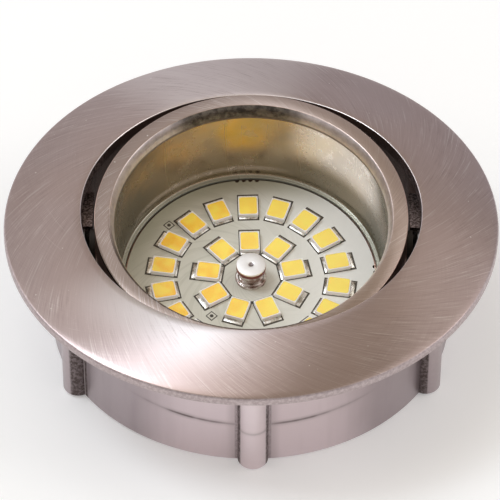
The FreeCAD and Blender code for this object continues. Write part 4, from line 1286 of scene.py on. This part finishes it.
# %% Dress the small parts
dress(small_metal("bright pin steel", (0.72, 0.71, 0.70), (0.45, 0.43, 0.41), 0.16),
      "left_pivot_pin", "right_pivot_pin")
dress(small_metal("spring steel", (0.50, 0.49, 0.48), (0.28, 0.27, 0.26), 0.25),
      "left_spring_washer", "right_spring_washer", "lock_washer")
dress(small_metal("nut brass", (0.72, 0.54, 0.25), (0.52, 0.36, 0.14), 0.22), "post_nut")
dress(small_metal("tinned metal", (0.72, 0.71, 0.69), (0.50, 0.48, 0.45), 0.24),
      "rectifier_leads", "wire_terminals")
dress(small_solid("dark friction fibre", (0.055, 0.048, 0.043), (0.095, 0.085, 0.075), 0.6),
      "left_friction_washer", "right_friction_washer")
dress(small_solid("natural nylon", (0.78, 0.77, 0.72), (0.70, 0.69, 0.63), 0.4, Subsurface_Weight=0.1,
                  Subsurface_Scale=0.0005), "board_spacer")
dress(small_solid("amber film", (0.62, 0.30, 0.05), (0.50, 0.22, 0.03), 0.2), "insulating_film")
dress(small_solid("black epoxy", (0.018, 0.018, 0.02), (0.035, 0.035, 0.037), 0.4), "bridge_rectifier")
dress(small_solid("chip resistor", (0.02, 0.02, 0.025), (0.05, 0.05, 0.055), 0.25), "string_resistors")
dress(small_solid("chip capacitor", (0.36, 0.24, 0.13), (0.46, 0.33, 0.20), 0.35), "smoothing_capacitors")
dress(small_solid("soft black rubber", (0.020, 0.019, 0.019), (0.045, 0.043, 0.042), 0.55), "cable_grommet")

# %% [markdown]
# ## Floor and sky
#
# The photograph is a product shot on white. A pale floor and a pale sky give metal something even to
# mirror. The sky is warm overhead and cooler near the horizon, as the tones of the skirt and of the
# face show. The floor glows faintly, which keeps it nearly white without more lamps.

# %% Floor and sky
bm = bmesh.new()
bmesh.ops.create_grid(bm, x_segments=1, y_segments=1, size=2.0,
                      matrix=Matrix.Translation((0, 0, -0.2 * MM)))
floor = link("floor", to_mesh(bm, "floor"))
floor.data.materials.append(Finish("pale floor", Roughness=0.6, Base_Color=(0.82, 0.82, 0.82),
                                   Emission_Color=(1, 1, 1), Emission_Strength=0.25).material)

world = bpy.data.worlds.new("studio")
bpy.context.scene.world = world
world.use_nodes = True
sky = Painter(world.node_tree)
background = sky.tree.nodes["Background"].inputs
rise = sky.ramp(sky.node("SeparateXYZ", sky.node("TexCoord")["Generated"])[2], 0.2, 0.95)
sky.feed(background["Color"], sky.mix(rise, (1.08, 1.06, 1.12), (1.0, 0.87, 0.69)))
sky.feed(background["Strength"], 0.47)
print("floor and sky made")

# %% [markdown]
# ## Lights
#
# Eight soft area lights stand round the table, all at the same distance. The strongest, high on the
# left, makes the bright fan on the brushed face. The keys at the left and right fill the bowl and the
# lip, the one behind lifts the far side of the face, and the low ones draw long reflections on the
# skirt. An azimuth of 0 is along +X, the right of the picture.

# %% Lights
LIGHT_DISTANCE = 0.9
DAYLIGHT = (0.90, 1.0, 1.10)


def soft_light(name, azimuth, elevation, power, size=(0.30, 0.30), colour=(1, 1, 1)):
    """An area light that looks at the face from an azimuth and an elevation in degrees."""
    a = math.radians(azimuth)
    e = math.radians(elevation)
    way = Vector((math.cos(a) * math.cos(e), math.sin(a) * math.cos(e), math.sin(e)))
    data = bpy.data.lights.new(name, "AREA")
    data.shape = "RECTANGLE"
    data.size, data.size_y = size
    data.energy = power
    data.color = colour
    light = link(name, data)
    light.location = FACE_CENTRE + way * LIGHT_DISTANCE
    light.rotation_euler = way.to_track_quat("Z", "Y").to_euler()


soft_light("left_high", 170, 58, 2.2, colour=DAYLIGHT)
soft_light("behind_left", 112, 65, 0.40, (0.35, 0.35), DAYLIGHT)
soft_light("left_key", 195, 38, 0.4)
soft_light("right_key", 0, 38, 1.0, (0.50, 0.30))
soft_light("right_high", 10, 58, 0.35)
soft_light("over_left", 180, 76, 0.5)
soft_light("low_left", 150, 18, 0.4)
soft_light("low_right", 0, 18, 0.35)
bpy.context.scene.view_settings.view_transform = "Standard"
